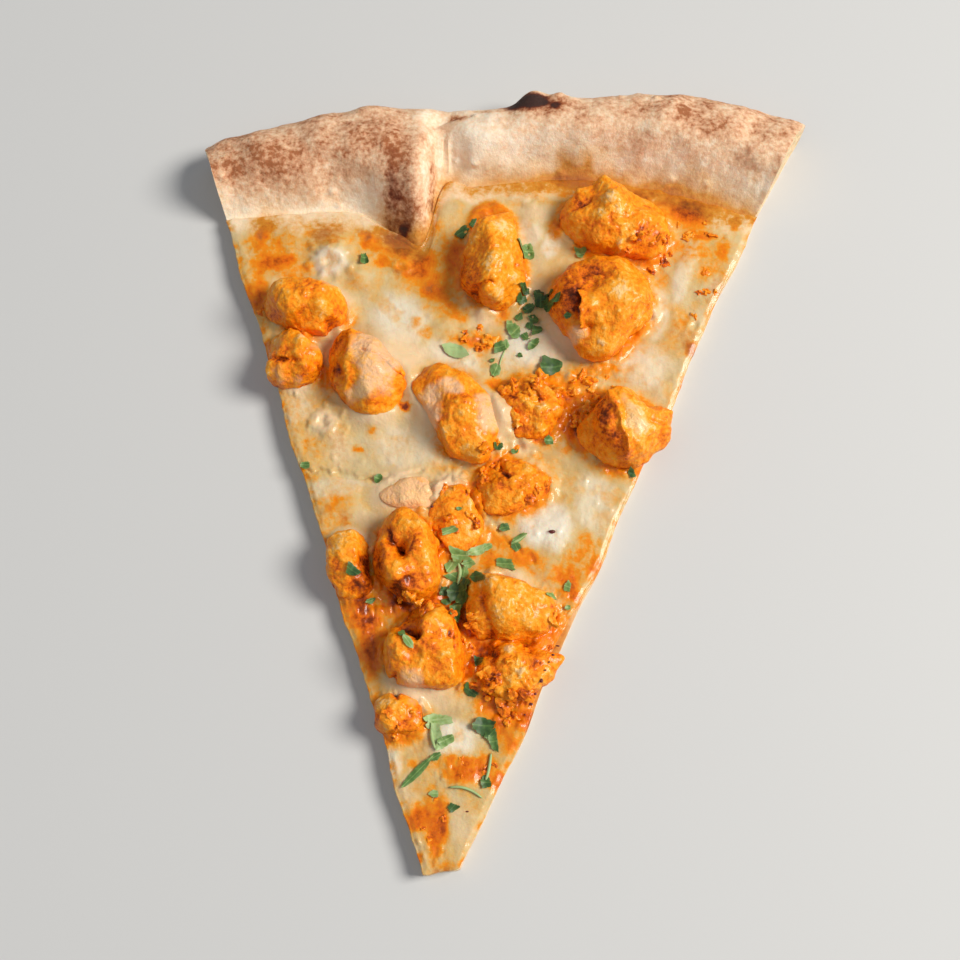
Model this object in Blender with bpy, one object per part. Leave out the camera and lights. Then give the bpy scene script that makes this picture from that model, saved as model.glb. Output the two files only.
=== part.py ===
"""Slice of chicken pizza: a thin dough base with a raised crust rim, a cheese layer that runs
from cut to cut, eighteen chunks of sauced chicken, and chopped parsley fused to what it lies on.

The slice lies flat on z = 0 with its tip towards -Y and its crust towards +Y. Both cuts meet at
an apex just beyond the blunt tip, so the outline is worked out in polar form about that apex:
an angle to the right of +Y and a radius. Sizes are in millimetres until a mesh is filled.
"""

import math

import bmesh
import bpy
import numpy as np
from mathutils import Matrix, Vector
from mathutils.bvhtree import BVHTree

MM = 0.001
GAP = 0.3  # clearance between pieces that rest on each other

# Outline of the slice
APEX_X = -5.0
APEX_Y = -134.55
HALF_ANGLE = 21.33  # degrees from the middle line to each cut
TIP_RADIUS = 13.6
TIP_SKEW = 1.2  # the tip's right corner is this much further out than its middle
TIP_ROUNDING = 0.9  # and both its corners are this much further out again
EDGE_WANDER = 0.45  # how far the knife's cut strays
EDGE_WANDER_LENGTHS = (9.0, 4.3)
RIM_FLARE = 2.4  # the crust's right corner is drawn out this much
RIM_FLARE_START = 235.0
RIM_FLARE_LENGTH = 30.0

# Crust, read at a few angles in degrees and joined by smooth curves
RIM_ANGLES = (-21.4, -12.0, -8.5, -4.5, -0.5, 4.5, 9.0, 13.0, 19.0, 21.4)
RIM_RADII = (246.0, 249.0, 250.0, 248.5, 249.0, 254.5, 259.0, 263.5, 267.0, 267.0)
FOOT_ANGLES = (-21.4, -15.0, -10.0, -7.2, -4.8, -3.8, -1.0, 4.0, 9.0, 14.0, 21.4)
FOOT_RADII = (221.5, 217.5, 213.5, 204.5, 205.0, 219.5, 222.5, 226.5, 230.0, 231.0, 233.0)
CREST_ANGLES = (-21.4, -13.0, -7.0, -5.0, -3.8, -1.5, 3.0, 8.0, 14.0, 21.4)
CREST_HEIGHTS = (16.5, 17.5, 18.5, 18.0, 14.0, 15.0, 16.5, 17.5, 18.5, 17.5)
CREST_PLACE = 0.52  # share of the crust's width from its foot to its crest
WAIST_HEIGHT = 0.4  # the outermost line's height, as a share of the crest's
UNDER_TUCK = 0.16  # share of the width by which the underside draws in
FOLD_ANGLE = -3.95  # where the left lobe of the crust ends in a rounded fold
FOLD_WIDTH = 0.75
FOLD_DEPTH = 2.6
BULGE_ANGLE = -6.0  # the lobe's end leans in over the cheese
BULGE_WIDTH = 2.4
BULGE_STEEPNESS = 0.8

# Relief of the crust: angles in degrees, places across it as in crust_section
CREASE_ANGLES = (-12.0, 0.0)  # a crease along the back, behind the fold
CREASE_ACROSS = 1.42
CREASE_WIDTH = 0.13
CREASE_DEPTH = 1.5
BLISTERS = (  # burst bubbles at the back: angle, width in mm, place and width across, height
    (2.8, 5.0, 1.6, 0.32, 3.2),
    (4.8, 2.5, 1.6, 0.2, 1.3),
)
CRUST_LUMPS = 0.75
CRUST_LUMP_LENGTH = 34.0
CRUST_ARC_RADIUS = 250.0
CRUST_ACROSS_LENGTH = 20.0  # millimetres of skin for each step of along

# Layers
DOUGH_THICKNESS = 3.6
CHEESE_THICKNESS = 2.3
CHEESE_WAVES = 0.3
CHEESE_WAVE_LENGTH = 30.0
CHEESE_EDGE_DROP = 0.9
CHEESE_EDGE_WIDTH = 3.0
CHEESE_INSET = 0.5
INSET_FADE = 12.0  # the inset is gone at the crust's foot
CLIMB_GAP = 0.45  # upright clearance where the cheese runs up the crust
CLIMB_THINNING = (0.55, 0.25)
BARE_EDGE = (80.0, 15.0, 2.0)  # on the right cut: radius, spread and width of bare dough
SEAT = 5.9  # no cheese stands higher than this under a chunk
SEAT_MARGIN = 6.0

# Swellings of the cheese: x, y, radius and height
MOUNDS = (
    (-51.0, 63.7, 7.0, 2.2),
    (14.0, -78.8, 5.5, 1.9),
    (-42.0, 56.7, 6.0, 1.2),
    (-65.0, 68.7, 6.0, 1.0),
    (56.0, 64.7, 8.0, 0.9),
    (63.0, 38.7, 7.0, 0.8),
    (44.0, 30.7, 9.0, 0.8),
    (21.0, -25.3, 8.5, 1.1),
    (-46.0, 3.7, 6.0, 1.2),
    (-41.0, -21.3, 8.0, 0.9),
    (-10.0, -84.3, 6.0, 0.9),
    (-1.0, -96.3, 5.0, 0.8),
    (-16.0, 44.7, 8.0, 0.8),
    (13.0, 72.7, 6.0, 0.8),
)

# Chicken: name, centre, height over the cheese, and reach to the outline every 45 degrees
OUTLINE_START = 3.5  # degrees from +X, anticlockwise, of each first reach
CHUNKS = (
    ("chicken_01", -2.0, 60.3, 15.0, (10.0, 11.5, 21.5, 9.5, 9.0, 12.5, 16.5, 13.5)),
    ("chicken_02", 34.5, 77.3, 13.0, (18.0, 12.0, 12.0, 12.5, 17.0, 13.0, 11.5, 18.5)),
    ("chicken_03", 33.0, 47.3, 16.0, (16.0, 18.0, 16.0, 16.0, 16.5, 14.0, 16.5, 12.5)),
    ("chicken_04", -58.0, 41.8, 12.0, (14.0, 10.0, 8.5, 11.0, 12.5, 8.5, 8.0, 12.0)),
    ("chicken_05", -59.0, 24.8, 11.0, (8.0, 7.5, 9.0, 10.0, 8.0, 10.0, 8.5, 9.0)),
    ("chicken_06", -36.5, 21.3, 13.0, (11.5, 9.0, 12.0, 14.5, 11.5, 11.0, 13.0, 13.0)),
    ("chicken_07", -9.5, 11.3, 12.0, (13.5, 10.5, 13.0, 18.0, 10.0, 9.0, 14.5, 15.5)),
    ("chicken_08", 12.5, 13.8, 6.0, (11.0, 10.0, 10.5, 10.5, 10.0, 9.0, 10.5, 10.0)),
    ("chicken_09", 40.0, 9.3, 13.0, (15.0, 10.5, 12.0, 11.5, 14.0, 12.0, 13.0, 13.0)),
    ("chicken_10", 9.5, -10.7, 7.0, (11.0, 9.0, 8.0, 10.0, 12.0, 11.5, 8.0, 7.0)),
    ("chicken_11", -20.5, -33.7, 14.0, (9.0, 11.0, 12.5, 11.5, 10.0, 11.5, 14.0, 13.0)),
    ("chicken_12", -37.0, -36.7, 9.0, (6.0, 7.5, 9.5, 9.0, 7.5, 8.0, 11.0, 10.0)),
    ("chicken_13", -14.0, -60.2, 12.0, (12.0, 12.0, 13.0, 9.5, 12.0, 13.0, 11.5, 15.5)),
    ("chicken_14", 9.0, -47.2, 11.0, (14.0, 9.0, 11.0, 13.5, 12.0, 12.5, 11.0, 13.0)),
    ("chicken_15", 12.5, -65.2, 7.0, (11.0, 10.0, 9.0, 10.0, 12.0, 9.5, 9.0, 9.0)),
    ("chicken_16", -19.5, -79.2, 6.0, (7.5, 6.5, 6.0, 7.0, 8.0, 7.5, 6.5, 6.5)),
    ("chicken_17", -7.5, -21.2, 4.5, (8.5, 9.0, 12.0, 9.5, 8.0, 9.0, 11.5, 9.5)),
    ("chicken_18", -20.5, -14.2, 4.0, (9.5, 6.5, 5.5, 7.0, 10.0, 6.5, 5.0, 6.5)),
)

# Marks on the chunks: direction (azimuth, elevation), width in degrees, change of radius
MARKS = {
    "chicken_01": ((80, 55, 30, 0.12), (250, 35, 28, 0.10), (200, 20, 20, -0.12)),
    "chicken_02": ((95, 60, 26, 0.16), (200, 40, 24, -0.16), (20, 45, 25, -0.10)),
    "chicken_03": ((215, 50, 24, 0.12), (150, 60, 22, -0.14), (248, 5, 16, 0.16)),
    "chicken_04": ((300, 20, 18, 0.10), (150, 60, 26, 0.08)),
    "chicken_05": ((160, 35, 22, -0.14), (60, 60, 24, 0.08)),
    "chicken_06": ((118, 15, 18, 0.14), (130, 62, 24, 0.12), (20, 50, 34, -0.12)),
    "chicken_07": ((301, 10, 16, 0.22), (150, 45, 26, -0.08)),
    "chicken_08": ((160, 40, 22, 0.20), (30, 50, 20, -0.25), (280, 45, 20, -0.20)),
    "chicken_09": ((21, 6, 12, 0.34), (52, 10, 13, -0.16), (110, 65, 24, 0.10)),
    "chicken_10": ((15, 5, 18, 0.16), (120, 55, 22, 0.08)),
    "chicken_11": ((165, 76, 17, -0.42), (110, 35, 24, 0.12), (60, 60, 22, 0.12)),
    "chicken_12": ((250, 30, 24, -0.10),),
    "chicken_13": ((137, 42, 17, -0.40), (95, 50, 22, 0.14), (165, 40, 18, 0.10)),
    "chicken_14": ((300, 55, 30, -0.10), (120, 50, 26, 0.10)),
    "chicken_15": ((20, 5, 11, 0.34), (200, 35, 26, -0.18)),
    "chicken_16": ((40, 50, 26, -0.14),),
    "chicken_17": ((60, 60, 30, -0.10), (240, 60, 26, 0.10)),
    "chicken_18": ((200, 50, 26, 0.12),),
}
CENTRE_RISE = 0.22  # a chunk is widest at this share of its height
UNDER_DEPTH = 0.44  # it would reach this far under that line if it weren't cut flat
SQUARENESS = 2.8
FACETS = 9
FACET_SLOPES = (5.0, 75.0)  # elevation of the facets' directions
FACET_DEPTHS = (0.86, 1.0)  # how deep the facets cut, as shares of the dome's own size
FACET_SHARPNESS = 16.0
CHUNK_SEED = 40
NEIGHBOUR_RANGE = 45.0

# Parsley: x, y, length, width and turn in degrees
FLAKES = (
    (-11.0, 31.7, 5.2, 3.6, 10),
    (-12.0, 71.5, 2.6, 2.0, 40),
    (8.6, 66.2, 2.2, 3.0, 10),
    (6.5, 39.0, 3.2, 2.6, 80),
    (9.5, 51.7, 2.2, 2.0, 30),
    (13.0, 43.2, 2.8, 2.4, 60),
    (2.0, 33.7, 2.4, 2.0, 150),
    (11.8, 35.2, 2.0, 3.0, 100),
    (17.5, 28.7, 3.4, 3.2, 55),
    (21.2, 27.1, 3.2, 2.6, 125),
    (-41.0, 60.7, 1.6, 2.4, 90),
    (18.5, 3.7, 2.2, 1.6, 150),
    (-53.0, -7.3, 1.8, 1.6, 20),
    (-31.0, -10.3, 2.0, 2.4, 70),
    (-35.5, -40.3, 2.2, 1.8, 140),
    (7.0, -22.8, 1.8, 1.8, 50),
    (12.6, -24.8, 3.4, 1.5, 35),
    (10.6, -27.3, 2.6, 1.4, 110),
    (-2.5, -31.8, 3.6, 2.0, 25),
    (8.5, -33.8, 4.0, 1.8, 0),
    (0.0, -39.8, 2.4, 2.4, 80),
    (-17.8, -60.7, 2.8, 2.0, 130),
    (-20.2, -57.5, 1.8, 1.4, 60),
    (1.5, -70.3, 2.4, 1.8, 120),
    (-8.5, -81.8, 4.2, 2.2, 15),
    (-7.0, -86.3, 3.4, 2.0, 70),
    (4.6, -80.8, 2.8, 2.4, 150),
    (6.6, -84.3, 2.4, 2.0, 110),
    (5.6, -91.8, 1.3, 3.8, 5),
    (-12.0, -93.8, 9.0, 2.2, 46),
    (-3.0, -101.8, 2.0, 1.4, 30),
)
FLAKE_PROUD = 0.4
FLAKE_SUNK = 0.8
FLAKE_CURL = 0.15
FLAKE_TAPER = 0.45
FLAKE_LEVELLING = 0.35  # share by which a flake lies flatter than what is under it
FLAKE_SIDES = 8

# How finely each solid is divided
COLUMNS = 40
DOUGH_ROWS = 24
CHEESE_ROWS = 36
INNER_ROWS = 7
OUTER_ROWS = 5
UNDER_ROWS = 3
BACK_TOP = 0.93  # the crust's upper grid ends just above its outermost line
BACK_LOW = 2.1  # and the lower grid just under it
CHEESE_CLIMB = 2  # rows of cheese that run up the crust
CHUNK_DETAIL = 3

COLOURS = {
    "dough": ((0.66, 0.40, 0.20, 1.0), 0.75),
    "cheese": ((0.80, 0.62, 0.34, 1.0), 0.38),
    "chicken": ((0.80, 0.25, 0.03, 1.0), 0.42),
    "parsley": ((0.10, 0.19, 0.05, 1.0), 0.60),
}


def clear_scene():
    for thing in list(bpy.data.objects):
        bpy.data.objects.remove(thing)


def material(name, kind):
    colour, roughness = COLOURS[kind]
    made = bpy.data.materials.new(name)
    made.use_nodes = True
    shader = made.node_tree.nodes["Principled BSDF"]
    shader.inputs["Base Color"].default_value = colour
    shader.inputs["Roughness"].default_value = roughness
    shader.inputs["Metallic"].default_value = 0.0
    return made


def through(x, stations, values):
    """A smooth curve through the stations: cubic pieces whose slopes follow the neighbours."""
    xs = np.asarray(stations, float)
    ys = np.asarray(values, float)
    slopes = np.gradient(ys, xs)
    i = np.clip(np.searchsorted(xs, x) - 1, 0, len(xs) - 2)
    span = xs[i + 1] - xs[i]
    t = np.clip((x - xs[i]) / span, 0.0, 1.0)
    start = (1 + 2 * t) * (1 - t) ** 2 * ys[i] + t * (1 - t) ** 2 * span * slopes[i]
    end = t * t * (3 - 2 * t) * ys[i + 1] + t * t * (t - 1) * span * slopes[i + 1]
    return start + end


def bump(x, middle, width):
    return np.exp(-(((x - middle) / width) ** 2))


def waves(x, y, longest, seed, count=7):
    """Sum of plane waves in random directions, each shorter and lower, about -1 to 1."""
    draw = np.random.default_rng(seed)
    total = np.zeros(np.broadcast(x, y).shape)
    for n in range(count):
        turn = draw.uniform(0, 2 * np.pi)
        length = longest * draw.uniform(0.75, 1.1) * 0.82**n
        phase = draw.uniform(0, 2 * np.pi)
        along = x * np.cos(turn) + y * np.sin(turn)
        total = total + np.cos(2 * np.pi * along / length + phase) * 0.82**n
    return total / 2.5


def slice_point(u, radius, z, inset=0.0):
    """A point of the slice: u runs from -1 at the left cut to 1 at the right one."""
    side = np.sign(u)
    long, short = EDGE_WANDER_LENGTHS
    stray = np.sin(radius / long + 2.0 * side) + 0.6 * np.sin(radius / short + side)
    flare = RIM_FLARE * np.clip((radius - RIM_FLARE_START) / RIM_FLARE_LENGTH, 0, 1)
    moved = (EDGE_WANDER * stray * side + flare * (side > 0)) * np.abs(u) ** 6 - inset * u
    angle = math.radians(HALF_ANGLE) * u + moved / radius
    x = APEX_X + radius * np.sin(angle)
    y = APEX_Y + radius * np.cos(angle)
    return np.stack(np.broadcast_arrays(x, y, z), axis=-1)


def columns():
    """Column positions u, set closer together towards both cuts, with two more at the fold."""
    t = np.linspace(-1, 1, COLUMNS + 1)
    fold = (FOLD_ANGLE + FOLD_WIDTH * np.array([-0.8, 0.6])) / HALF_ANGLE
    return np.sort(np.concatenate([t * (1.22 - 0.22 * t * t), fold]))


def tip_radius(u):
    return TIP_RADIUS + TIP_SKEW * u + TIP_ROUNDING * np.abs(u) ** 4


def crust_section(u, along):
    """Radius and height of the crust's skin. along is 0 at the foot, 1 at the crest,
    2 at the rim's outermost line and 3 where the underside meets the floor."""
    degrees = HALF_ANGLE * u
    foot = through(degrees, FOOT_ANGLES, FOOT_RADII)
    rim = through(degrees, RIM_ANGLES, RIM_RADII)
    crest = through(degrees, CREST_ANGLES, CREST_HEIGHTS)
    width = rim - foot
    waist = WAIST_HEIGHT * crest
    under = UNDER_TUCK * width
    climb = np.clip(along, 0, 1)
    fall = np.clip(along - 1, 0, 1) * np.pi / 2
    tuck = np.clip(along - 2, 0, 1) * np.pi / 2
    bulging = bump(degrees, BULGE_ANGLE, BULGE_WIDTH) * BULGE_STEEPNESS
    gentle = (1 - np.cos(np.pi * climb)) / 2
    steep = np.sin(np.pi / 2 * climb) ** 0.8
    rise = gentle * (1 - bulging) + steep * bulging
    outward = CREST_PLACE * climb + (1 - CREST_PLACE) * np.sin(fall)
    radius = foot + width * outward - under * (1 - np.cos(tuck))
    z = np.where(
        along <= 1,
        DOUGH_THICKNESS + (crest - DOUGH_THICKNESS) * rise,
        waist + (crest - waist) * np.cos(fall) - waist * np.sin(tuck),
    )
    lift = crust_relief(u, along)
    middle_radius = foot + 0.5 * width
    middle_z = 0.3 * crest
    reach = np.hypot(radius - middle_radius, z - middle_z)
    radius = radius + lift * (radius - middle_radius) / reach
    z = np.maximum(z + lift * (z - middle_z) / reach, 0.0)
    return radius, z


def crust_relief(u, along):
    """Lumps, fold, crease and blisters, as millimetres out of the crust's skin."""
    degrees = HALF_ANGLE * u
    arc = np.radians(degrees) * CRUST_ARC_RADIUS
    fade = np.clip(along * 2.2, 0, 1) * np.clip((2.6 - along) * 1.6, 0, 1)
    lift = CRUST_LUMPS * waves(arc, along * CRUST_ACROSS_LENGTH, CRUST_LUMP_LENGTH, 3)
    lift = lift - FOLD_DEPTH * bump(degrees, FOLD_ANGLE, FOLD_WIDTH) * np.clip(1.9 - 1.2 * along, 0, 1)
    first, last = CREASE_ANGLES
    inside = np.clip((degrees - first) / 3, 0, 1) * np.clip((last - degrees) / 3, 0, 1)
    lift = lift - CREASE_DEPTH * inside * bump(along, CREASE_ACROSS, CREASE_WIDTH)
    for angle, width, across, spread, height in BLISTERS:
        round_it = bump(arc, np.radians(angle) * CRUST_ARC_RADIUS, width)
        lift = lift + height * round_it * bump(along, across, spread)
    return fade * lift


def slab(name, bottom, top, kind):
    """A closed solid between two grids of points: a grid is extruded into a slab and shaped."""
    rows, across = bottom.shape[:2]
    mesh = bmesh.new()
    mark = mesh.verts.layers.int.new("place")
    bmesh.ops.create_grid(mesh, x_segments=across - 1, y_segments=rows - 1, size=0.5)
    low = list(mesh.verts)
    column = [round((v.co.x + 0.5) * (across - 1)) for v in low]
    row = [round((v.co.y + 0.5) * (rows - 1)) for v in low]
    for vert, i, j in zip(low, row, column):
        vert[mark] = i * across + j
    made = bmesh.ops.extrude_face_region(mesh, geom=list(mesh.faces), use_keep_orig=True)
    high = [item for item in made["geom"] if isinstance(item, bmesh.types.BMVert)]
    flat_low = bottom.reshape(-1, 3) * MM
    flat_high = top.reshape(-1, 3) * MM
    for vert in low:
        vert.co = flat_low[vert[mark]]
    for vert in high:
        vert.co = flat_high[vert[mark]]
    bmesh.ops.recalc_face_normals(mesh, faces=list(mesh.faces))
    flat = [e for e in mesh.edges if len(e.link_faces) == 2 and e.calc_face_angle() < 1e-4]
    bmesh.ops.dissolve_edges(mesh, edges=flat, use_verts=False)
    return finish(name, mesh, kind)


def finish(name, mesh, kind):
    """Turns a bmesh into an object of its own, in the slice's collection."""
    data = bpy.data.meshes.new(name)
    mesh.to_mesh(data)
    mesh.free()
    data.materials.append(material(name, kind))
    data.shade_smooth()
    data.set_sharp_from_angle(angle=math.radians(50))
    made = bpy.data.objects.new(name, data)
    slice_parts.objects.link(made)
    return made


def dough():
    """Base and crust in one piece, flat underneath."""
    u = columns()[None, :]
    foot = through(HALF_ANGLE * u, FOOT_ANGLES, FOOT_RADII)
    share = np.linspace(0, 1, DOUGH_ROWS + 1)[:, None]
    base = tip_radius(u) + (foot - tip_radius(u)) * share
    inner = np.arange(1, INNER_ROWS + 1) / INNER_ROWS
    outer = 1 + np.arange(1, OUTER_ROWS + 1) / OUTER_ROWS * BACK_TOP
    ring_radius, ring_z = crust_section(u, np.concatenate([inner, outer])[:, None])
    top = np.concatenate([
        slice_point(u, base, DOUGH_THICKNESS),
        slice_point(u, ring_radius, ring_z),
    ])
    under = BACK_LOW + (3 - BACK_LOW) * np.arange(UNDER_ROWS)[::-1] / UNDER_ROWS
    edge_radius, edge_z = crust_section(u, np.concatenate([[3.0], under])[:, None])
    floor_rows = INNER_ROWS + OUTER_ROWS - UNDER_ROWS
    share = np.arange(1, floor_rows + 1)[:, None] / floor_rows
    floor = foot + (edge_radius[:1] - foot) * share
    bottom = np.concatenate([
        slice_point(u, base, 0.0),
        slice_point(u, floor, 0.0),
        slice_point(u, edge_radius[1:], edge_z[1:]),
    ])
    return slab("dough", bottom, top, "dough")


def cheese_thickness(points, u, radius):
    """Waves and swellings, lower at the cuts and never above a chunk's seat."""
    x, y = points[..., 0], points[..., 1]
    thick = CHEESE_THICKNESS + CHEESE_WAVES * waves(x, y, CHEESE_WAVE_LENGTH, 11)
    for mx, my, size, height in MOUNDS:
        thick = thick + height * bump(np.hypot(x - mx, y - my), 0.0, 0.8 * size)
    to_cut = (1 - np.abs(u)) * radius * math.radians(HALF_ANGLE)
    thick = thick - CHEESE_EDGE_DROP * np.clip(1 - to_cut / CHEESE_EDGE_WIDTH, 0, 1) ** 2
    return np.minimum(thick, under_chunks(x, y))


def under_chunks(x, y):
    """The most cheese that fits under the chunks, far above it elsewhere."""
    room = np.full(x.shape, 100.0)
    for name, cx, cy, height, reaches in CHUNKS:
        azimuth = np.arctan2(y - cy, x - cx)
        outside = np.hypot(x - cx, y - cy) - outline(azimuth, reaches)
        room = np.where(outside < SEAT_MARGIN, SEAT - DOUGH_THICKNESS - GAP, room)
    return room


def cheese():
    """The layer of melted cheese. It starts just inside the tip and thins out up the crust."""
    u = columns()[None, :]
    foot = through(HALF_ANGLE * u, FOOT_ANGLES, FOOT_RADII)
    share = np.linspace(0, 1, CHEESE_ROWS + 1)[:, None]
    start = tip_radius(u) + CHEESE_INSET
    radius = start + (foot - start) * share
    bare = np.where(u > 0, BARE_EDGE[2] * bump(radius, BARE_EDGE[0], BARE_EDGE[1]), 0.0)
    inset = (CHEESE_INSET + bare) * np.clip((foot - radius) / INSET_FADE, 0, 1)
    rest = slice_point(u, radius, DOUGH_THICKNESS + GAP, inset)
    thick = cheese_thickness(rest, u, radius)
    climb = np.arange(1, CHEESE_CLIMB + 1)[:, None] / INNER_ROWS
    up_radius, up_z = crust_section(u, climb)
    rest_up = slice_point(u, up_radius, up_z + CLIMB_GAP)
    thin = np.linspace(*CLIMB_THINNING, CHEESE_CLIMB)[:, None] * thick[-1:]
    top = rest.copy()
    top[..., 2] = top[..., 2] + thick
    top_up = rest_up.copy()
    top_up[..., 2] = top_up[..., 2] + thin
    return slab("cheese", np.concatenate([rest, rest_up]), np.concatenate([top, top_up]), "cheese")


def outline(azimuth, reaches):
    """Reach at an azimuth: a smooth closed curve through the eight reaches."""
    step = (azimuth - math.radians(OUTLINE_START)) / (np.pi / 4) % 8
    i = np.floor(step).astype(int)
    t = step - i
    r = np.asarray(reaches)
    before, here, after, beyond = r[(i - 1) % 8], r[i % 8], r[(i + 1) % 8], r[(i + 2) % 8]
    pull = (after - before) * t + (2 * before - 5 * here + 4 * after - beyond) * t**2
    return here + 0.5 * (pull + (3 * here - before - 3 * after + beyond) * t**3)


def chunk_body(directions, height, reaches):
    """Distance from the chunk's middle to a squarish dome over its outline."""
    x, y, z = directions.T
    level = np.hypot(x, y)
    plan = outline(np.arctan2(y, x), reaches)
    tall = height * np.where(z > 0, 1 - CENTRE_RISE, UNDER_DEPTH)
    return ((level / plan) ** SQUARENESS + (np.abs(z) / tall) ** SQUARENESS) ** (-1 / SQUARENESS)


def chunk_support(directions, height, reaches):
    """How far the dome stands out along each direction, taken as for an ellipsoid."""
    x, y, z = directions.T
    plan = outline(np.arctan2(y, x), reaches)
    return np.hypot(np.hypot(x, y) * plan, z * (1 - CENTRE_RISE) * height)


def pointing(azimuth, elevation):
    a, e = np.radians(azimuth), np.radians(elevation)
    return np.stack([np.cos(a) * np.cos(e), np.sin(a) * np.cos(e), np.sin(e)], axis=-1)


def chunk_radius(directions, number):
    """The dome cut by random facets with soft edges, then its marks, then its neighbours."""
    name, cx, cy, height, reaches = CHUNKS[number]
    draw = np.random.default_rng(CHUNK_SEED + number)
    turn = 360.0 * (np.arange(FACETS) + draw.uniform(-0.3, 0.3, FACETS)) / FACETS
    faces = pointing(turn, draw.uniform(*FACET_SLOPES, FACETS))
    depth = chunk_support(faces, height, reaches) * draw.uniform(*FACET_DEPTHS, FACETS)
    radius = chunk_body(directions, height, reaches)
    cut = np.clip(directions @ faces.T, 0, None) / depth
    radius = (radius**-FACET_SHARPNESS + (cut**FACET_SHARPNESS).sum(axis=1)) ** (-1 / FACET_SHARPNESS)
    for azimuth, elevation, width, change in MARKS[name]:
        off = np.arccos(np.clip(directions @ pointing(azimuth, elevation), -1, 1))
        radius = radius * (1 + change * np.exp(-((np.degrees(off) / width) ** 2)))
    return np.minimum(radius, neighbour_limit(directions, number))


def neighbour_limit(directions, number):
    """Distance to the upright planes that keep a chunk clear of the chunks beside it."""
    name, cx, cy, height, reaches = CHUNKS[number]
    limit = np.full(len(directions), 1000.0)
    for other_name, ox, oy, other_height, other_reaches in CHUNKS:
        apart = math.hypot(ox - cx, oy - cy)
        if other_name == name or apart > NEIGHBOUR_RANGE:
            continue
        azimuth = math.atan2(oy - cy, ox - cx)
        own = float(outline(azimuth, reaches))
        other = float(outline(azimuth + math.pi, other_reaches))
        share = (apart - GAP) * own / (own + other)
        towards = directions @ np.array([math.cos(azimuth), math.sin(azimuth), 0.0])
        limit = np.minimum(limit, share / np.maximum(towards, 1e-3))
    return limit


def chunk(number):
    """A chunk of chicken: a ball shaped by chunk_radius and cut flat where it rests."""
    name, cx, cy, height, reaches = CHUNKS[number]
    mesh = bmesh.new()
    bmesh.ops.create_icosphere(mesh, subdivisions=CHUNK_DETAIL, radius=1.0)
    directions = np.array([v.co.normalized() for v in mesh.verts])
    floor = SEAT + GAP
    middle = np.array([cx, cy, floor + CENTRE_RISE * height])
    points = middle + directions * chunk_radius(directions, number)[:, None]
    for vert, point in zip(mesh.verts, points):
        vert.co = point * MM
    cut = bmesh.ops.bisect_plane(
        mesh,
        geom=list(mesh.verts) + list(mesh.edges) + list(mesh.faces),
        dist=1e-6,
        plane_co=(0, 0, floor * MM),
        plane_no=(0, 0, -1),
        clear_outer=True,
    )
    rim = [item for item in cut["geom_cut"] if isinstance(item, bmesh.types.BMEdge)]
    bmesh.ops.contextual_create(mesh, geom=rim)
    bmesh.ops.recalc_face_normals(mesh, faces=list(mesh.faces))
    return finish(name, mesh, "chicken")


def flake_mesh(place, normal, length, width, turn):
    """A leaf scrap: a flat eight-sided drum with pointed ends and a curled upper face."""
    mesh = bmesh.new()
    bmesh.ops.create_cone(
        mesh, cap_ends=True, cap_tris=True, segments=FLAKE_SIDES, radius1=0.5, radius2=0.5, depth=1.0
    )
    upright = Vector(normal).lerp(Vector((0, 0, 1)), FLAKE_LEVELLING).to_track_quat("Z", "Y").to_matrix()
    spin = upright.to_4x4() @ Matrix.Rotation(math.radians(turn), 4, "Z")
    for vert in mesh.verts:
        x, y, z = vert.co
        along = 2 * x
        taper = 1 - FLAKE_TAPER * along * along
        curl = FLAKE_CURL * math.sin(3.0 * along + 1.0) + FLAKE_CURL * (2 * y) ** 2
        height = FLAKE_PROUD + curl if z > 0 else -FLAKE_SUNK
        local = Vector((x * length, y * width * taper, height))
        vert.co = (Vector(place) + spin @ local) * MM
    return mesh


def settle_flakes(carriers):
    """Lays each flake on what is highest under it, and keeps those that lie on one piece only."""
    trees = {}
    for carrier in carriers:
        mesh = bmesh.new()
        mesh.from_mesh(carrier.data)
        trees[carrier.name] = BVHTree.FromBMesh(mesh)
        mesh.free()

    def highest(x, y):
        best = (None, None, -1.0)
        for name, tree in trees.items():
            spot, normal, face, distance = tree.ray_cast(Vector((x * MM, y * MM, 0.1)), Vector((0, 0, -1)))
            if spot is not None and spot.z > best[2]:
                best = (name, (spot, normal), spot.z)
        return best

    lying = {}
    for x, y, length, width, turn in FLAKES:
        name, found, level = highest(x, y)
        reach = 0.5 * max(length, width) + 3 * GAP
        around = [(x + reach * math.cos(a), y + reach * math.sin(a)) for a in np.arange(0, 6.28, 0.785)]
        alone = all(highest(ax, ay)[0] == name for ax, ay in around)
        if name is None or not alone:
            continue
        spot, normal = found
        lying.setdefault(name, []).append((Vector(spot) / MM, normal, length, width, turn))
    return lying


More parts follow.
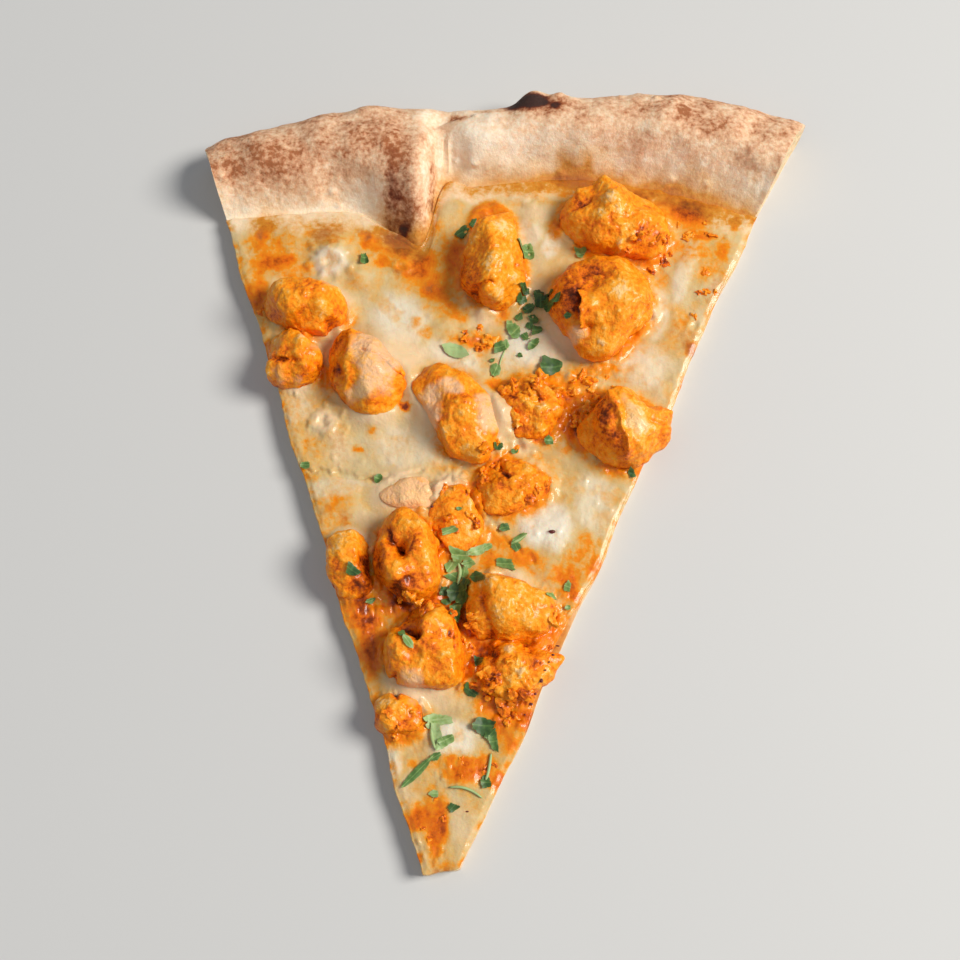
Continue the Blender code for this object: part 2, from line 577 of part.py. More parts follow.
def fuse_flakes(carriers):
    """Joins each piece with the flakes that lie on it, in one union a piece."""
    lying = settle_flakes(carriers)
    green = material("parsley", "parsley")
    for carrier in carriers:
        if carrier.name not in lying:
            continue
        loose = bpy.data.collections.new("flakes")
        bpy.context.scene.collection.children.link(loose)
        for place, normal, length, width, turn in lying[carrier.name]:
            mesh = flake_mesh(place, normal, length, width, turn)
            data = bpy.data.meshes.new("flake")
            mesh.to_mesh(data)
            mesh.free()
            data.materials.append(green)
            loose.objects.link(bpy.data.objects.new("flake", data))
        carrier.data.materials.append(green)
        union = carrier.modifiers.new("flakes", "BOOLEAN")
        union.operation = "UNION"
        union.solver = "EXACT"
        union.operand_type = "COLLECTION"
        union.collection = loose
        union.material_mode = "TRANSFER"
        depsgraph = bpy.context.evaluated_depsgraph_get()
        joined = bpy.data.meshes.new_from_object(carrier.evaluated_get(depsgraph))
        carrier.modifiers.clear()
        carrier.data = joined
        joined.name = carrier.name
        for flake in list(loose.objects):
            bpy.data.objects.remove(flake)
        bpy.data.collections.remove(loose)


clear_scene()
slice_parts = bpy.data.collections.new("chicken_pizza_slice")
bpy.context.scene.collection.children.link(slice_parts)
dough()
toppings = [cheese()]
toppings += [chunk(number) for number in range(len(CHUNKS))]
fuse_flakes(toppings)
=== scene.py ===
# A slice of chicken pizza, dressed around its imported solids.
# Places are millimetres in the slice's own frame (x to the right, y towards the crust, z up)
# until a mesh is filled. Angles across the slice are degrees to the right of its middle line.

import math

import bmesh
import bpy
import numpy as np
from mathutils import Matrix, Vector


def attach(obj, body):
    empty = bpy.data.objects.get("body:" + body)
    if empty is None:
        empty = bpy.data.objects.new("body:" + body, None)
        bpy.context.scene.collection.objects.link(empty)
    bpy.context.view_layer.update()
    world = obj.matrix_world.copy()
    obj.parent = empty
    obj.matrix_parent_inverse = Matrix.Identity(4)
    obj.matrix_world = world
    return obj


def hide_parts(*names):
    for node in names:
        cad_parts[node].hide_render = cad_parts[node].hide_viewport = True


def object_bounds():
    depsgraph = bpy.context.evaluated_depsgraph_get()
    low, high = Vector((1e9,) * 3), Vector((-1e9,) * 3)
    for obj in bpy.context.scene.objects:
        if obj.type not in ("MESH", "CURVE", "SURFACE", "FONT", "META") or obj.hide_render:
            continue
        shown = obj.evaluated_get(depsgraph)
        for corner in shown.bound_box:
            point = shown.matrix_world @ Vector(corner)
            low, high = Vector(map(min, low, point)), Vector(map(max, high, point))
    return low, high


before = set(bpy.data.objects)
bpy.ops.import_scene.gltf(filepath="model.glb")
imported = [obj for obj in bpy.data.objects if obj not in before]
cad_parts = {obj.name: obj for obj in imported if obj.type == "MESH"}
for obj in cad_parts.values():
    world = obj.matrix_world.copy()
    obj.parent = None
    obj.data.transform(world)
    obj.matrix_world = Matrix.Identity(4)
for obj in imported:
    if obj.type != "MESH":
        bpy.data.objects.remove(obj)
cadLow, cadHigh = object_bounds()
mm = 0.001

print("frame loaded:", len(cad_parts), "nodes")


# Curves and noise

def through(x, stations, values):
    # a smooth curve through the stations: cubic pieces whose slopes follow the neighbours
    xs = np.asarray(stations, float)
    ys = np.asarray(values, float)
    slopes = np.gradient(ys, xs)
    i = np.clip(np.searchsorted(xs, x) - 1, 0, len(xs) - 2)
    span = xs[i + 1] - xs[i]
    t = np.clip((x - xs[i]) / span, 0.0, 1.0)
    start = (1 + 2 * t) * (1 - t) ** 2 * ys[i] + t * (1 - t) ** 2 * span * slopes[i]
    end = t * t * (3 - 2 * t) * ys[i + 1] + t * t * (t - 1) * span * slopes[i + 1]
    return start + end


def bump(x, middle, width):
    # a bell: 1 at the middle, 0.37 a width away
    return np.exp(-(((x - middle) / width) ** 2))


def ease(x, low, high):
    # 0 below low, 1 above high, and a soft S between; high may be below low
    t = np.clip((x - low) / (high - low), 0, 1)
    return t * t * (3 - 2 * t)


def waves(x, y, longest, seed, count=7):
    # plane waves in random directions, each shorter and lower, about -1 to 1
    draw = np.random.default_rng(seed)
    total = np.zeros(np.broadcast(x, y).shape)
    for n in range(count):
        turn = draw.uniform(0, 2 * np.pi)
        length = longest * draw.uniform(0.75, 1.1) * 0.82**n
        phase = draw.uniform(0, 2 * np.pi)
        along = x * np.cos(turn) + y * np.sin(turn)
        total = total + np.cos(2 * np.pi * along / length + phase) * 0.82**n
    return total / 2.5


slopeTable = np.random.default_rng(5).uniform(-1, 1, (4096, 3))


def slopesAt(cells, seed):
    # three steady random numbers from -1 to 1 for each cell of a lattice
    keys = cells.astype(np.int64) * np.array([73856093, 19349663, 83492791])
    mixed = keys[..., 0] ^ keys[..., 1] ^ keys[..., 2] ^ (seed * 297121507)
    return slopeTable[(mixed ^ (mixed >> 12)) % 4096]


def grain(points, size, seed):
    # gradient noise, about -1 to 1: random slopes at the corners of a lattice, blended softly
    scaled = points / size
    cell = np.floor(scaled)
    inside = scaled - cell
    fade = inside**3 * (inside * (inside * 6 - 15) + 10)
    total = np.zeros(points.shape[:-1])
    for corner in np.ndindex(2, 2, 2):
        step = np.array(corner)
        rise = ((inside - step) * slopesAt(cell + step, seed)).sum(axis=-1)
        total = total + rise * np.where(step, fade, 1 - fade).prod(axis=-1)
    return 1.5 * total


def roughGrain(points, size, seed, octaves=3, keep=0.5):
    # noise on noise: each octave is half the size and lower by keep
    return sum(grain(points, size / 2**n, seed + n) * keep**n for n in range(octaves))


def billows(points, size, seed, octaves=3, keep=0.5):
    # rounded bumps of all sizes with sharp creases between them, about 0 in creases to 1
    total = sum(np.abs(grain(points, size / 2**n, seed + n)) * keep**n for n in range(octaves))
    return 1.6 * total / sum(keep**n for n in range(octaves))


def drift(points, size, seed):
    # three noises at once, to move points about
    return np.stack([grain(points, size, seed + 20 * n) for n in range(3)], axis=-1)


def cells(points, size, seed):
    # distance to the nearest of one random dot in each lattice cell, and the gap to the second
    scaled = points / size
    cell = np.floor(scaled)
    nearest = np.full(points.shape[:-1], 9.0)
    second = nearest.copy()
    for corner in np.ndindex(3, 3, 3):
        home = cell + np.array(corner) - 1
        away = np.linalg.norm(scaled - home - 0.5 - 0.45 * slopesAt(home, seed), axis=-1)
        second = np.minimum(second, np.maximum(nearest, away))
        nearest = np.minimum(nearest, away)
    return nearest, second - nearest


def cobbles(points, size, seed):
    # rounded lumps with creases between them, 0 in the creases and 1 on top
    nearest, gap = cells(points, size, seed)
    return np.clip(1 - (nearest / 0.85) ** 2, 0, 1) * ease(gap, 0.0, 0.35)


def layered(points, layers):
    # several noises on top of each other: rise, size and seed of each
    return sum(rise * grain(points, size, seed) for rise, size, seed in layers)


def withHeight(x, y, z=0.0):
    # one array of points from arrays of their x, y and z
    return np.stack(np.broadcast_arrays(x, y, z), axis=-1).astype(float)


def gridNormals(points):
    # the cross product of the steps across and along the grid
    normal = np.cross(np.gradient(points, axis=1), np.gradient(points, axis=0))
    return normal / np.maximum(np.linalg.norm(normal, axis=-1, keepdims=True), 1e-9)


# Meshes

def gridFaces(rows, across, start=0, wrap=False):
    # quads of a grid numbered row by row, seen from the side where across x along points
    number = start + np.arange(rows * across).reshape(rows, across)
    here = number if wrap else number[:, :-1]
    beside = np.roll(number, -1, axis=1) if wrap else number[:, 1:]
    quads = [here[:-1], beside[:-1], beside[1:], here[1:]]
    return np.stack(quads, axis=-1).reshape(-1, 4).tolist()


def closeUnder(left, right, first, last):
    # faces of an underside between two side edges and two end edges, given as vertex numbers
    faces = np.stack([left[:-1], right[:-1], right[1:], left[1:]], axis=-1).tolist()
    faces.append(first.tolist() + [int(right[0]), int(left[0])])
    faces.append(last.tolist() + [int(right[-1]), int(left[-1])])
    return faces


def makePiece(name, points, faces, finish, marks=None, creaseAngle=60, weld=False):
    # fills a mesh from arrays in millimetres and turns its faces outwards
    mesh = bpy.data.meshes.new(name)
    mesh.from_pydata((points * mm).tolist(), [], faces)
    for label, values in (marks or {}).items():
        layer = mesh.attributes.new(label, "FLOAT", "POINT")
        layer.data.foreach_set("value", values.astype(np.float32))
    work = bmesh.new()
    work.from_mesh(mesh)
    if weld:
        bmesh.ops.remove_doubles(work, verts=list(work.verts), dist=1e-7)
    if work.calc_volume(signed=True) < 0:
        bmesh.ops.reverse_faces(work, faces=list(work.faces))
    if weld:
        bmesh.ops.recalc_face_normals(work, faces=list(work.faces))
    work.to_mesh(mesh)
    work.free()
    mesh.materials.append(finish)
    mesh.shade_smooth()
    mesh.set_sharp_from_angle(angle=math.radians(creaseAngle))
    piece = bpy.data.objects.new(name, mesh)
    bpy.context.scene.collection.objects.link(piece)
    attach(piece, "root")
    return piece


# Materials

def linear(hexColour):
    # an sRGB hex value as linear red, green, blue and alpha
    shares = [int(hexColour[i:i + 2], 16) / 255 for i in (1, 3, 5)]
    return [s / 12.92 if s <= 0.04045 else ((s + 0.055) / 1.055) ** 2.4 for s in shares] + [1.0]


def add(tree, kind, feeds=(), stops=(), out=0, **settings):
    # adds a node and gives back one of its outputs; feeds are sockets or values for its inputs,
    # in their order or by name or number, and stops fill a colour ramp
    node = tree.nodes.new("ShaderNode" + kind)
    for key, value in settings.items():
        setattr(node, key, value)
    for key, value in feeds.items() if isinstance(feeds, dict) else enumerate(feeds):
        if isinstance(value, bpy.types.NodeSocket):
            tree.links.new(value, node.inputs[key])
        else:
            node.inputs[key].default_value = value
    if stops:
        band = node.color_ramp.elements
        while len(band) < len(stops):
            band.new(1.0)
        for element, (place, colour) in zip(band, stops):
            element.position = place
            element.color = linear(colour)
    return node.outputs[out]


def newMaterial(name, **shaderSettings):
    made = bpy.data.materials.new(name)
    made.use_nodes = True
    tree = made.node_tree
    shader = tree.nodes["Principled BSDF"]
    for key, value in shaderSettings.items():
        shader.inputs[key.replace("_", " ")].default_value = value
    return made, tree, shader, add(tree, "TexCoord", out="Object")


def perMetre(sizeInMm):
    # a noise texture's scale for features of that size
    return 1000.0 / sizeInMm


def marksOf(tree, *names):
    # the marks that a piece's points carry
    return [add(tree, "Attribute", out="Fac", attribute_name=name) for name in names]


def feed(tree, shader, sockets):
    for name, socket in sockets.items():
        tree.links.new(socket, shader.inputs[name])


# In the looks below, grains are noises: size in mm, detail, roughness. Pores, fibres and curd are
# finer in the real food, and are drawn this coarse so that they show.

doughLooks = {
    "skin": [  # from bare floury dough to well toasted
        (0.00, "#FBF0DC"), (0.28, "#F7DFC2"), (0.50, "#EFC8A2"), (0.72, "#DCAA84"), (0.88, "#C48A64"),
        (1.00, "#A5653E"),
    ],
    "char": [(0.3, "#A85A2A"), (0.6, "#7C3516"), (0.85, "#512214"), (1.0, "#36221E")],
    "stainAndShade": [  # buttery sauce soaked into the crust, also painting shade along its foot
        (0.00, "#E9CD9B"), (0.18, "#DFB168"), (0.36, "#D69A3E"), (0.56, "#CA8020"), (0.76, "#B0610E"),
        (1.00, "#74380A"),
    ],
    # cut crumb: pale at 0, darker towards 1 as painted shade in its holes
    "crumb": [(0.0, "#E4CBA2"), (0.6, "#CFA873"), (1.0, "#A8763F")],
    "grains": [(1.5, 3.0, 0.6), (5.5, 3.0, 0.55), (0.9, 4.0, 0.65)],  # freckles, blotches, pores
    "poreDepth": 0.0005,
}


def bakedDough():
    # Baked wheat dough: dry and matt, floury where pale, with fine freckles, clouds of browning
    # and scorched blisters.
    made, tree, shader, place = newMaterial(
        "baked wheat dough",
        Roughness=0.78, Subsurface_Weight=0.12, Subsurface_Scale=0.0015, Specular_IOR_Level=0.3,
    )
    freckles, blotches, pores = [
        add(tree, "TexNoise", {
            "Vector": place, "Scale": perMetre(size), "Detail": detail, "Roughness": rough,
        }) for size, detail, rough in doughLooks["grains"]
    ]
    toast, stainAndShade, holes, cut, scorch = marksOf(tree, "toast", "sauceAndShade", "holeShade", "cut", "char")
    spots = add(tree, "MapRange", [freckles, 0.32, 0.68, -0.20, 0.25])
    clouds = add(tree, "MapRange", [blotches, 0.3, 0.7, -0.14, 0.14])
    strength = add(tree, "MapRange", [toast, 0.0, 0.6, 0.3, 1.0])
    both = add(tree, "Math", [spots, clouds], operation="ADD")
    uneven = add(tree, "Math", [both, strength, toast], operation="MULTIPLY_ADD")
    skin = add(tree, "ValToRGB", [uneven], doughLooks["skin"])
    # the sauce stain, which along the foot of the crust is also painted shade
    mottled = add(tree, "Math", [spots, 0.5, stainAndShade], operation="MULTIPLY_ADD")
    stainShadeColour = add(tree, "ValToRGB", [mottled], doughLooks["stainAndShade"])
    stainShadeShare = add(tree, "MapRange", [stainAndShade, 0.0, 0.45, 0.0, 0.95])
    skinWithStainShade = add(tree, "Mix", {0: stainShadeShare, 6: skin, 7: stainShadeColour}, out=2, data_type="RGBA")
    # the cut crumb is darker in its holes: painted shade
    inner = add(tree, "Math", [holes, clouds], operation="ADD")
    crumb = add(tree, "ValToRGB", [inner], doughLooks["crumb"])
    rind = add(tree, "Math", [cut, toast], operation="SUBTRACT")
    opened = add(tree, "Mix", {0: rind, 6: skinWithStainShade, 7: crumb}, out=2, data_type="RGBA")
    flecked = add(tree, "Math", [spots, 0.45, scorch], operation="MULTIPLY_ADD")
    burning = add(tree, "Math", [clouds, 1.3, flecked], operation="MULTIPLY_ADD")
    burnt = add(tree, "MapRange", [burning, 0.25, 0.8, 0.0, 0.97])
    scorched = add(tree, "ValToRGB", [burning], doughLooks["char"])
    colour = add(tree, "Mix", {0: burnt, 6: opened, 7: scorched}, out=2, data_type="RGBA")
    relief = add(tree, "Bump", {"Height": pores, "Strength": 0.6, "Distance": doughLooks["poreDepth"]})
    feed(tree, shader, {"Base Color": colour, "Normal": relief})
    return made


cheeseLooks = {
    "curd": [(0.0, "#B8955E"), (0.4, "#CCB07B"), (1.0, "#E0D0A8")],
    "milk": "#EAE2CE",
    "film": "#E3C59C",
    "bread": "#F0DABC",
    # sauce from thin to thick; the darkest stops also give the painted shade in the gaps between chunks
    "sauceAndShade": [
        (0.00, "#DDBC7C"), (0.18, "#DFAA4C"), (0.36, "#E49A24"), (0.56, "#E8840A"), (0.76, "#DC6B02"),
        (0.90, "#AE4A02"), (1.00, "#772C02"),
    ],
    "toast": [(0.0, "#D79A4E"), (0.5, "#B0652A"), (1.0, "#6E3012")],
    "grains": [(1.6, 4.0, 0.6), (7.0, 3.0, 0.5)],  # curd, clouds
    "curdDepth": 0.0006,
}


def meltedCheese():
    # Melted mozzarella: milky and slightly see-through, moist, with sauce and oil run into it, and
    # painted shade in the gaps between the chunks.
    made, tree, shader, place = newMaterial(
        "melted mozzarella",
        Subsurface_Weight=0.22, Subsurface_Scale=0.002, Coat_Weight=0.4, Coat_Roughness=0.14,
        Specular_IOR_Level=0.15,
    )
    fine, broad = [
        add(tree, "TexNoise", {
            "Vector": place, "Scale": perMetre(size), "Detail": detail, "Roughness": rough,
        }) for size, detail, rough in cheeseLooks["grains"]
    ]
    sauceAndShade, milk, film, bread, toast = marksOf(tree, "sauceAndShade", "milk", "film", "bread", "toast")
    plain = add(tree, "ValToRGB", [broad], cheeseLooks["curd"])
    for share, name in ((milk, "milk"), (film, "film"), (bread, "bread")):
        tint = linear(cheeseLooks[name])
        plain = add(tree, "Mix", {0: share, 6: plain, 7: tint}, out=2, data_type="RGBA")
    speckle = add(tree, "MapRange", [fine, 0.3, 0.7, 0.13, -0.13])
    amount = add(tree, "MapRange", [sauceAndShade, 0.0, 0.35, 0.0, 1.0])
    uneven = add(tree, "Math", [speckle, amount, sauceAndShade], operation="MULTIPLY_ADD")
    red = add(tree, "ValToRGB", [uneven], cheeseLooks["sauceAndShade"])
    golden = add(tree, "ValToRGB", [uneven], doughLooks["stainAndShade"])
    byTheCrust = add(tree, "Mix", {0: bread, 6: red, 7: golden}, out=2, data_type="RGBA")
    cover = add(tree, "MapRange", [uneven, 0.03, 0.46, 0.0, 1.0])
    saucedAndShaded = add(tree, "Mix", {0: cover, 6: plain, 7: byTheCrust}, out=2, data_type="RGBA")
    browned = add(tree, "ValToRGB", [toast], cheeseLooks["toast"])
    patchy = add(tree, "Math", [speckle, 1.3, toast], operation="MULTIPLY_ADD")
    over = add(tree, "MapRange", [patchy, 0.15, 0.7, 0.0, 0.95])
    colour = add(tree, "Mix", {0: over, 6: saucedAndShaded, 7: browned}, out=2, data_type="RGBA")
    gloss = add(tree, "MapRange", [uneven, 0.0, 0.8, 0.44, 0.36])
    dry = add(tree, "Math", [bread, 0.35, gloss], operation="MULTIPLY_ADD")
    relief = add(tree, "Bump", {"Height": fine, "Strength": 0.5, "Distance": cheeseLooks["curdDepth"]})
    feed(tree, shader, {"Base Color": colour, "Roughness": dry, "Normal": relief})
    return made


chickenLooks = {
    "sauceAndShade": [  # from bare meat and painted light on ridges, through well coated, to sauce and painted shade in the hollows
        (0.00, "#FFCB86"), (0.14, "#FFB448"), (0.30, "#FFA21E"), (0.50, "#FD8D06"), (0.68, "#E87003"),
        (0.84, "#B54B02"), (1.00, "#6C2802"),
    ],
    "film": "#F1D3A9",
    "grains": [(1.3, 4.0, 0.62), (5.0, 3.0, 0.55)],  # fibres, clouds
    "fibreDepth": 0.0008,
}


def saucedChicken():
    # Cooked chicken in a buttery chilli sauce: fibrous meat, wet and glossy; darker in hollows and paler on
    # ridges, partly sauce and partly painted shade and painted light.
    made, tree, shader, place = newMaterial(
        "chicken in chilli sauce",
        Subsurface_Weight=0.08, Subsurface_Scale=0.001, Coat_Weight=0.32, Coat_Roughness=0.18,
        Specular_IOR_Level=0.15,
    )
    fine, broad = [
        add(tree, "TexNoise", {
            "Vector": place, "Scale": perMetre(size), "Detail": detail, "Roughness": rough,
        }) for size, detail, rough in chickenLooks["grains"]
    ]
    depth, film = marksOf(tree, "sauceAndShade", "film")
    clouds = add(tree, "MapRange", [broad, 0.3, 0.7, -0.14, 0.14])
    # the fibre noise that lifts the bump also sets the tone: paler on its peaks and darker in its pits, as
    # painted light and painted shade
    fibreLightAndShade = add(tree, "MapRange", [fine, 0.3, 0.7, 0.24, -0.24])
    both = add(tree, "Math", [clouds, fibreLightAndShade], operation="ADD")
    uneven = add(tree, "Math", [both, depth], operation="ADD")
    coatedAndShaded = add(tree, "ValToRGB", [uneven], chickenLooks["sauceAndShade"])
    broken = add(tree, "Math", [both, 2.2, 1.0], operation="MULTIPLY_ADD")
    ragged = add(tree, "Math", [broken, film], operation="MULTIPLY")
    cover = add(tree, "MapRange", [ragged, 0.15, 1.0, 0.0, 0.66])
    tint = linear(chickenLooks["film"])
    colour = add(tree, "Mix", {0: cover, 6: coatedAndShaded, 7: tint}, out=2, data_type="RGBA")
    gloss = add(tree, "MapRange", [broad, 0.3, 0.7, 0.34, 0.55])
    relief = add(tree, "Bump", {"Height": fine, "Strength": 0.9, "Distance": chickenLooks["fibreDepth"]})
    feed(tree, shader, {"Base Color": colour, "Roughness": gloss, "Normal": relief})
    return made


leafLooks = {
    "leaf": [(0.0, "#20331A"), (0.3, "#35532A"), (0.6, "#587A3C"), (0.85, "#86A35C"), (1.0, "#A3BA7E")],
    "leafMottle": 1.5,
    "pepper": [(0.0, "#3A0F10"), (1.0, "#7C2320")],
    "pepperMottle": 0.8,
}


def parsleyLeaf():
    # Chopped flat parsley: thin, waxy and a little see-through, paler on the underside.
    made, tree, shader, place = newMaterial(
        "chopped parsley", Roughness=0.5, Subsurface_Weight=0.1, Subsurface_Scale=0.0005,
        Coat_Weight=0.08, Coat_Roughness=0.3, Specular_IOR_Level=0.3,
    )
    [shade] = marksOf(tree, "shade")
    mottle = add(tree, "TexNoise", {"Vector": place, "Scale": perMetre(leafLooks["leafMottle"])})
    uneven = add(tree, "Math", [mottle, 0.5, shade], operation="MULTIPLY_ADD")
    feed(tree, shader, {"Base Color": add(tree, "ValToRGB", [uneven], leafLooks["leaf"])})
    return made


def driedPepper():
    # Crushed dried chilli: thin dark red skin, matt with a waxy edge.
    made, tree, shader, place = newMaterial("crushed dried chilli", Roughness=0.5)
    mottle = add(tree, "TexNoise", {"Vector": place, "Scale": perMetre(leafLooks["pepperMottle"])})
    feed(tree, shader, {"Base Color": add(tree, "ValToRGB", [mottle], leafLooks["pepper"])})
    return made


doughFinish = bakedDough()
cheeseFinish = meltedCheese()
chickenFinish = saucedChicken()
leafFinish = parsleyLeaf()
pepperFinish = driedPepper()

print("materials made")


# The slice's outline, from which every layer is worked out

sliceShape = {
    "apex": (-5.0, -134.55),  # where the two cuts would meet
    "halfAngle": 21.33,
    "tipRadius": 13.6,
    "tipSkew": 1.2,
    "tipRounding": 0.9,
    "wander": 0.45,
    "wanderLengths": (9.0, 4.3),
    "rimFlare": 2.4,
    "flareStart": 235.0,
    "flareLength": 30.0,
    "doughThickness": 3.6,
    "gap": 0.3,
}
cutAngle = math.radians(sliceShape["halfAngle"])


def slicePoint(u, radius, z, inset=0.0):
    # u runs from -1 at the left cut to 1 at the right one; the angle is u times the half angle,
    # and the point is that far round and radius away from the apex, with the knife's wander
    side = np.sign(u)
    long, short = sliceShape["wanderLengths"]
    stray = np.sin(radius / long + 2.0 * side) + 0.6 * np.sin(radius / short + side)
    flare = np.clip((radius - sliceShape["flareStart"]) / sliceShape["flareLength"], 0, 1)
    moved = sliceShape["wander"] * stray * side + sliceShape["rimFlare"] * flare * (side > 0)
    moved = moved * np.abs(u) ** 6 - inset * u
    angle = cutAngle * u + moved / radius
    apexX, apexY = sliceShape["apex"]
    return withHeight(apexX + radius * np.sin(angle), apexY + radius * np.cos(angle), z)


def degreesAt(u):
    return sliceShape["halfAngle"] * u


def columnPlaces(count):
    # closer together towards both cuts
    t = np.linspace(-1, 1, count + 1)
    return t * (1.22 - 0.22 * t * t)


def tipRadius(u):
    return sliceShape["tipRadius"] + sliceShape["tipSkew"] * u + sliceShape["tipRounding"] * np.abs(u) ** 4


# Where sauce, milky cheese and browning lie (the sauce with painted shade in the gaps between
# chunks): x, y, half width, half height, turn, amount

saucePoolsAndGapShade = [
    # under the crust
    (5.7, 88.8, 25, 3, 4, 0.44), (25.9, 92, 5.6, 3.2, 0, 0.8), (59.1, 84.1, 8, 6.4, -10, 0.88),
    (73.3, 80.6, 2.8, 3.1, 0, 0.62), (69.4, 70, 2.6, 4.4, -10, 0.62), (62.5, 75.1, 5.4, 2, -10, 0.66),
    (77.5, 88.1, 2.6, 5.4, -20, 0.34), (70, 62, 2, 3, -14, 0.4),
    # left corner and the blistered patch
    (-73.8, 67.2, 2.8, 6.3, -10, 0.72), (-68.8, 58.2, 8.4, 3.2, 10, 0.8), (-75, 45, 2, 6, 14, 0.66),
    (-72.3, 29.2, 1.6, 7, 14, 0.55), (-40.6, 67.5, 3.2, 3.2, 0, 0.72), (-35.7, 60.2, 3.2, 2.2, 0, 0.66),
    (-29.8, 65.9, 5.4, 4.4, 0, 0.84), (-23.8, 58.9, 3.6, 5.2, 20, 0.82),
    (-19.2, 51.2, 4.6, 4, -40, 0.76), (-13.7, 47, 2.8, 2.2, 0, 0.6), (-12.2, 61.6, 2.4, 5.4, 0, 0.66),
    (-38, 63, 8, 6, 0, 0.34), (-20.6, 36.6, 2, 2.6, 0, 0.44), (-23.4, 40.7, 1.4, 2.2, 0, 0.42),
    (-10.9, 43.4, 5, 2.6, 0, 0.55), (-5.3, 35.6, 4.8, 2.4, 14, 0.72), (-20, 73, 3, 3, 0, 0.46),
    # between the chunks from the middle to the tip; those near 1 in the gaps between chunks are painted
    # shade
    (55.1, 40.5, 2.6, 1.6, 0, 0.34), (60.1, 37, 2.6, 2.6, 0, 0.55), (33, 28.6, 8, 2.4, 0, 0.5),
    (-24.9, 12.6, 2.6, 1.4, -20, 0.98), (3.1, 21.1, 5, 3, 0, 0.74), (15.9, 17.1, 11.5, 8.4, 0, 0.82),
    (30.3, 19, 5.2, 3.2, 0, 0.7), (15.8, 6.6, 4.6, 3.4, 0, 0.86), (9.2, -8.6, 10.5, 9, 0, 0.88),
    (-3.6, -15.5, 5.4, 9.6, 0, 0.72), (-6.6, -24.9, 6.6, 5.6, 0, 0.68),
    (-39.8, -23.9, 2.3, 2.8, 0, 0.46), (-45.1, -20.5, 1.8, 1.6, 0, 0.42),
    (-27.3, -14.8, 3.4, 2.2, 0, 0.36), (-50.6, -11, 2.4, 1.5, 0, 0.4), (45.9, -2.2, 5, 2.4, 0, 0.6),
    (27.3, -38.8, 2.2, 6.6, 8, 0.76), (34.6, -33.2, 2, 5, 16, 0.66), (11.9, -32.2, 5, 3, 0, 0.56),
    (3, -33, 3.4, 4, 0, 0.6), (-34.8, -47.5, 3.6, 5.4, 0, 0.62), (-28.9, -61.8, 3.2, 8, 14, 0.82),
    (-26, -30, 6, 9, 0, 0.6), (-14, -47, 9, 5, 0, 0.8), (-21.5, -47.4, 5, 1.8, 0, 1),
    (-32.6, -48.6, 2.6, 4.4, 10, 0.95), (16, -50.2, 12, 11, 0, 0.76), (3.5, -60.9, 5.6, 6.2, 0, 0.88),
    (11.1, -70.2, 8.6, 5.6, -10, 0.86), (20.6, -62.5, 5, 2.8, -10, 0.8), (15.8, -78, 4.4, 3.6, 0, 0.8),
    (12, -84.8, 3, 3.4, 0, 0.66), (6, -74, 5, 5, 0, 0.7), (-20.8, -79.2, 6.4, 4.8, 0, 0.56),
    (-22, -86.9, 1.3, 1, 0, 0.62), (-2, -66, 3, 6, 0, 0.7), (5, -26.5, 7, 4, -20, 0.5),
    (13, -31, 7, 2.4, -16, 0.62), (-13, -26, 3, 6, 10, 0.56), (-1, -47, 3, 8, 0, 0.66),
    (-60, 12, 4, 5, 0, 0.3), (-58, -2, 2.4, 6, 10, 0.34), (-54, 6, 5, 2, 20, 0.3),
    # the tip
    (1.6, -93.6, 8.6, 3.4, 12, 0.72), (8.9, -95.8, 3.2, 2.8, 0, 0.74), (-4.5, -91.3, 3.2, 2.2, 0, 0.6),
    (-11.4, -106.6, 5, 4.6, 0, 0.8), (-6.6, -109.5, 3.4, 8.2, -4, 0.84), (-15, -92.8, 1.6, 1.6, 0, 0.5),
    (-4.8, -119.2, 4.2, 1.6, 0, 0.44), (-13.5, -99.5, 3, 2.6, 0, 0.4), (2, -103, 4, 2.4, 0, 0.3),
    # single drops
    (46, -2.7, 1.2, 1.2, 0, 0.5), (-34.2, 4.4, 1.4, 1.4, 0, 0.62), (-38, -1.5, 1.3, 1.3, 0, 0.62),
    (-51, 1.5, 1.6, 0.8, 0, 0.4), (-56, 6, 3.2, 0.8, 20, 0.26), (-47, -3, 1.4, 6, -30, 0.3),
]
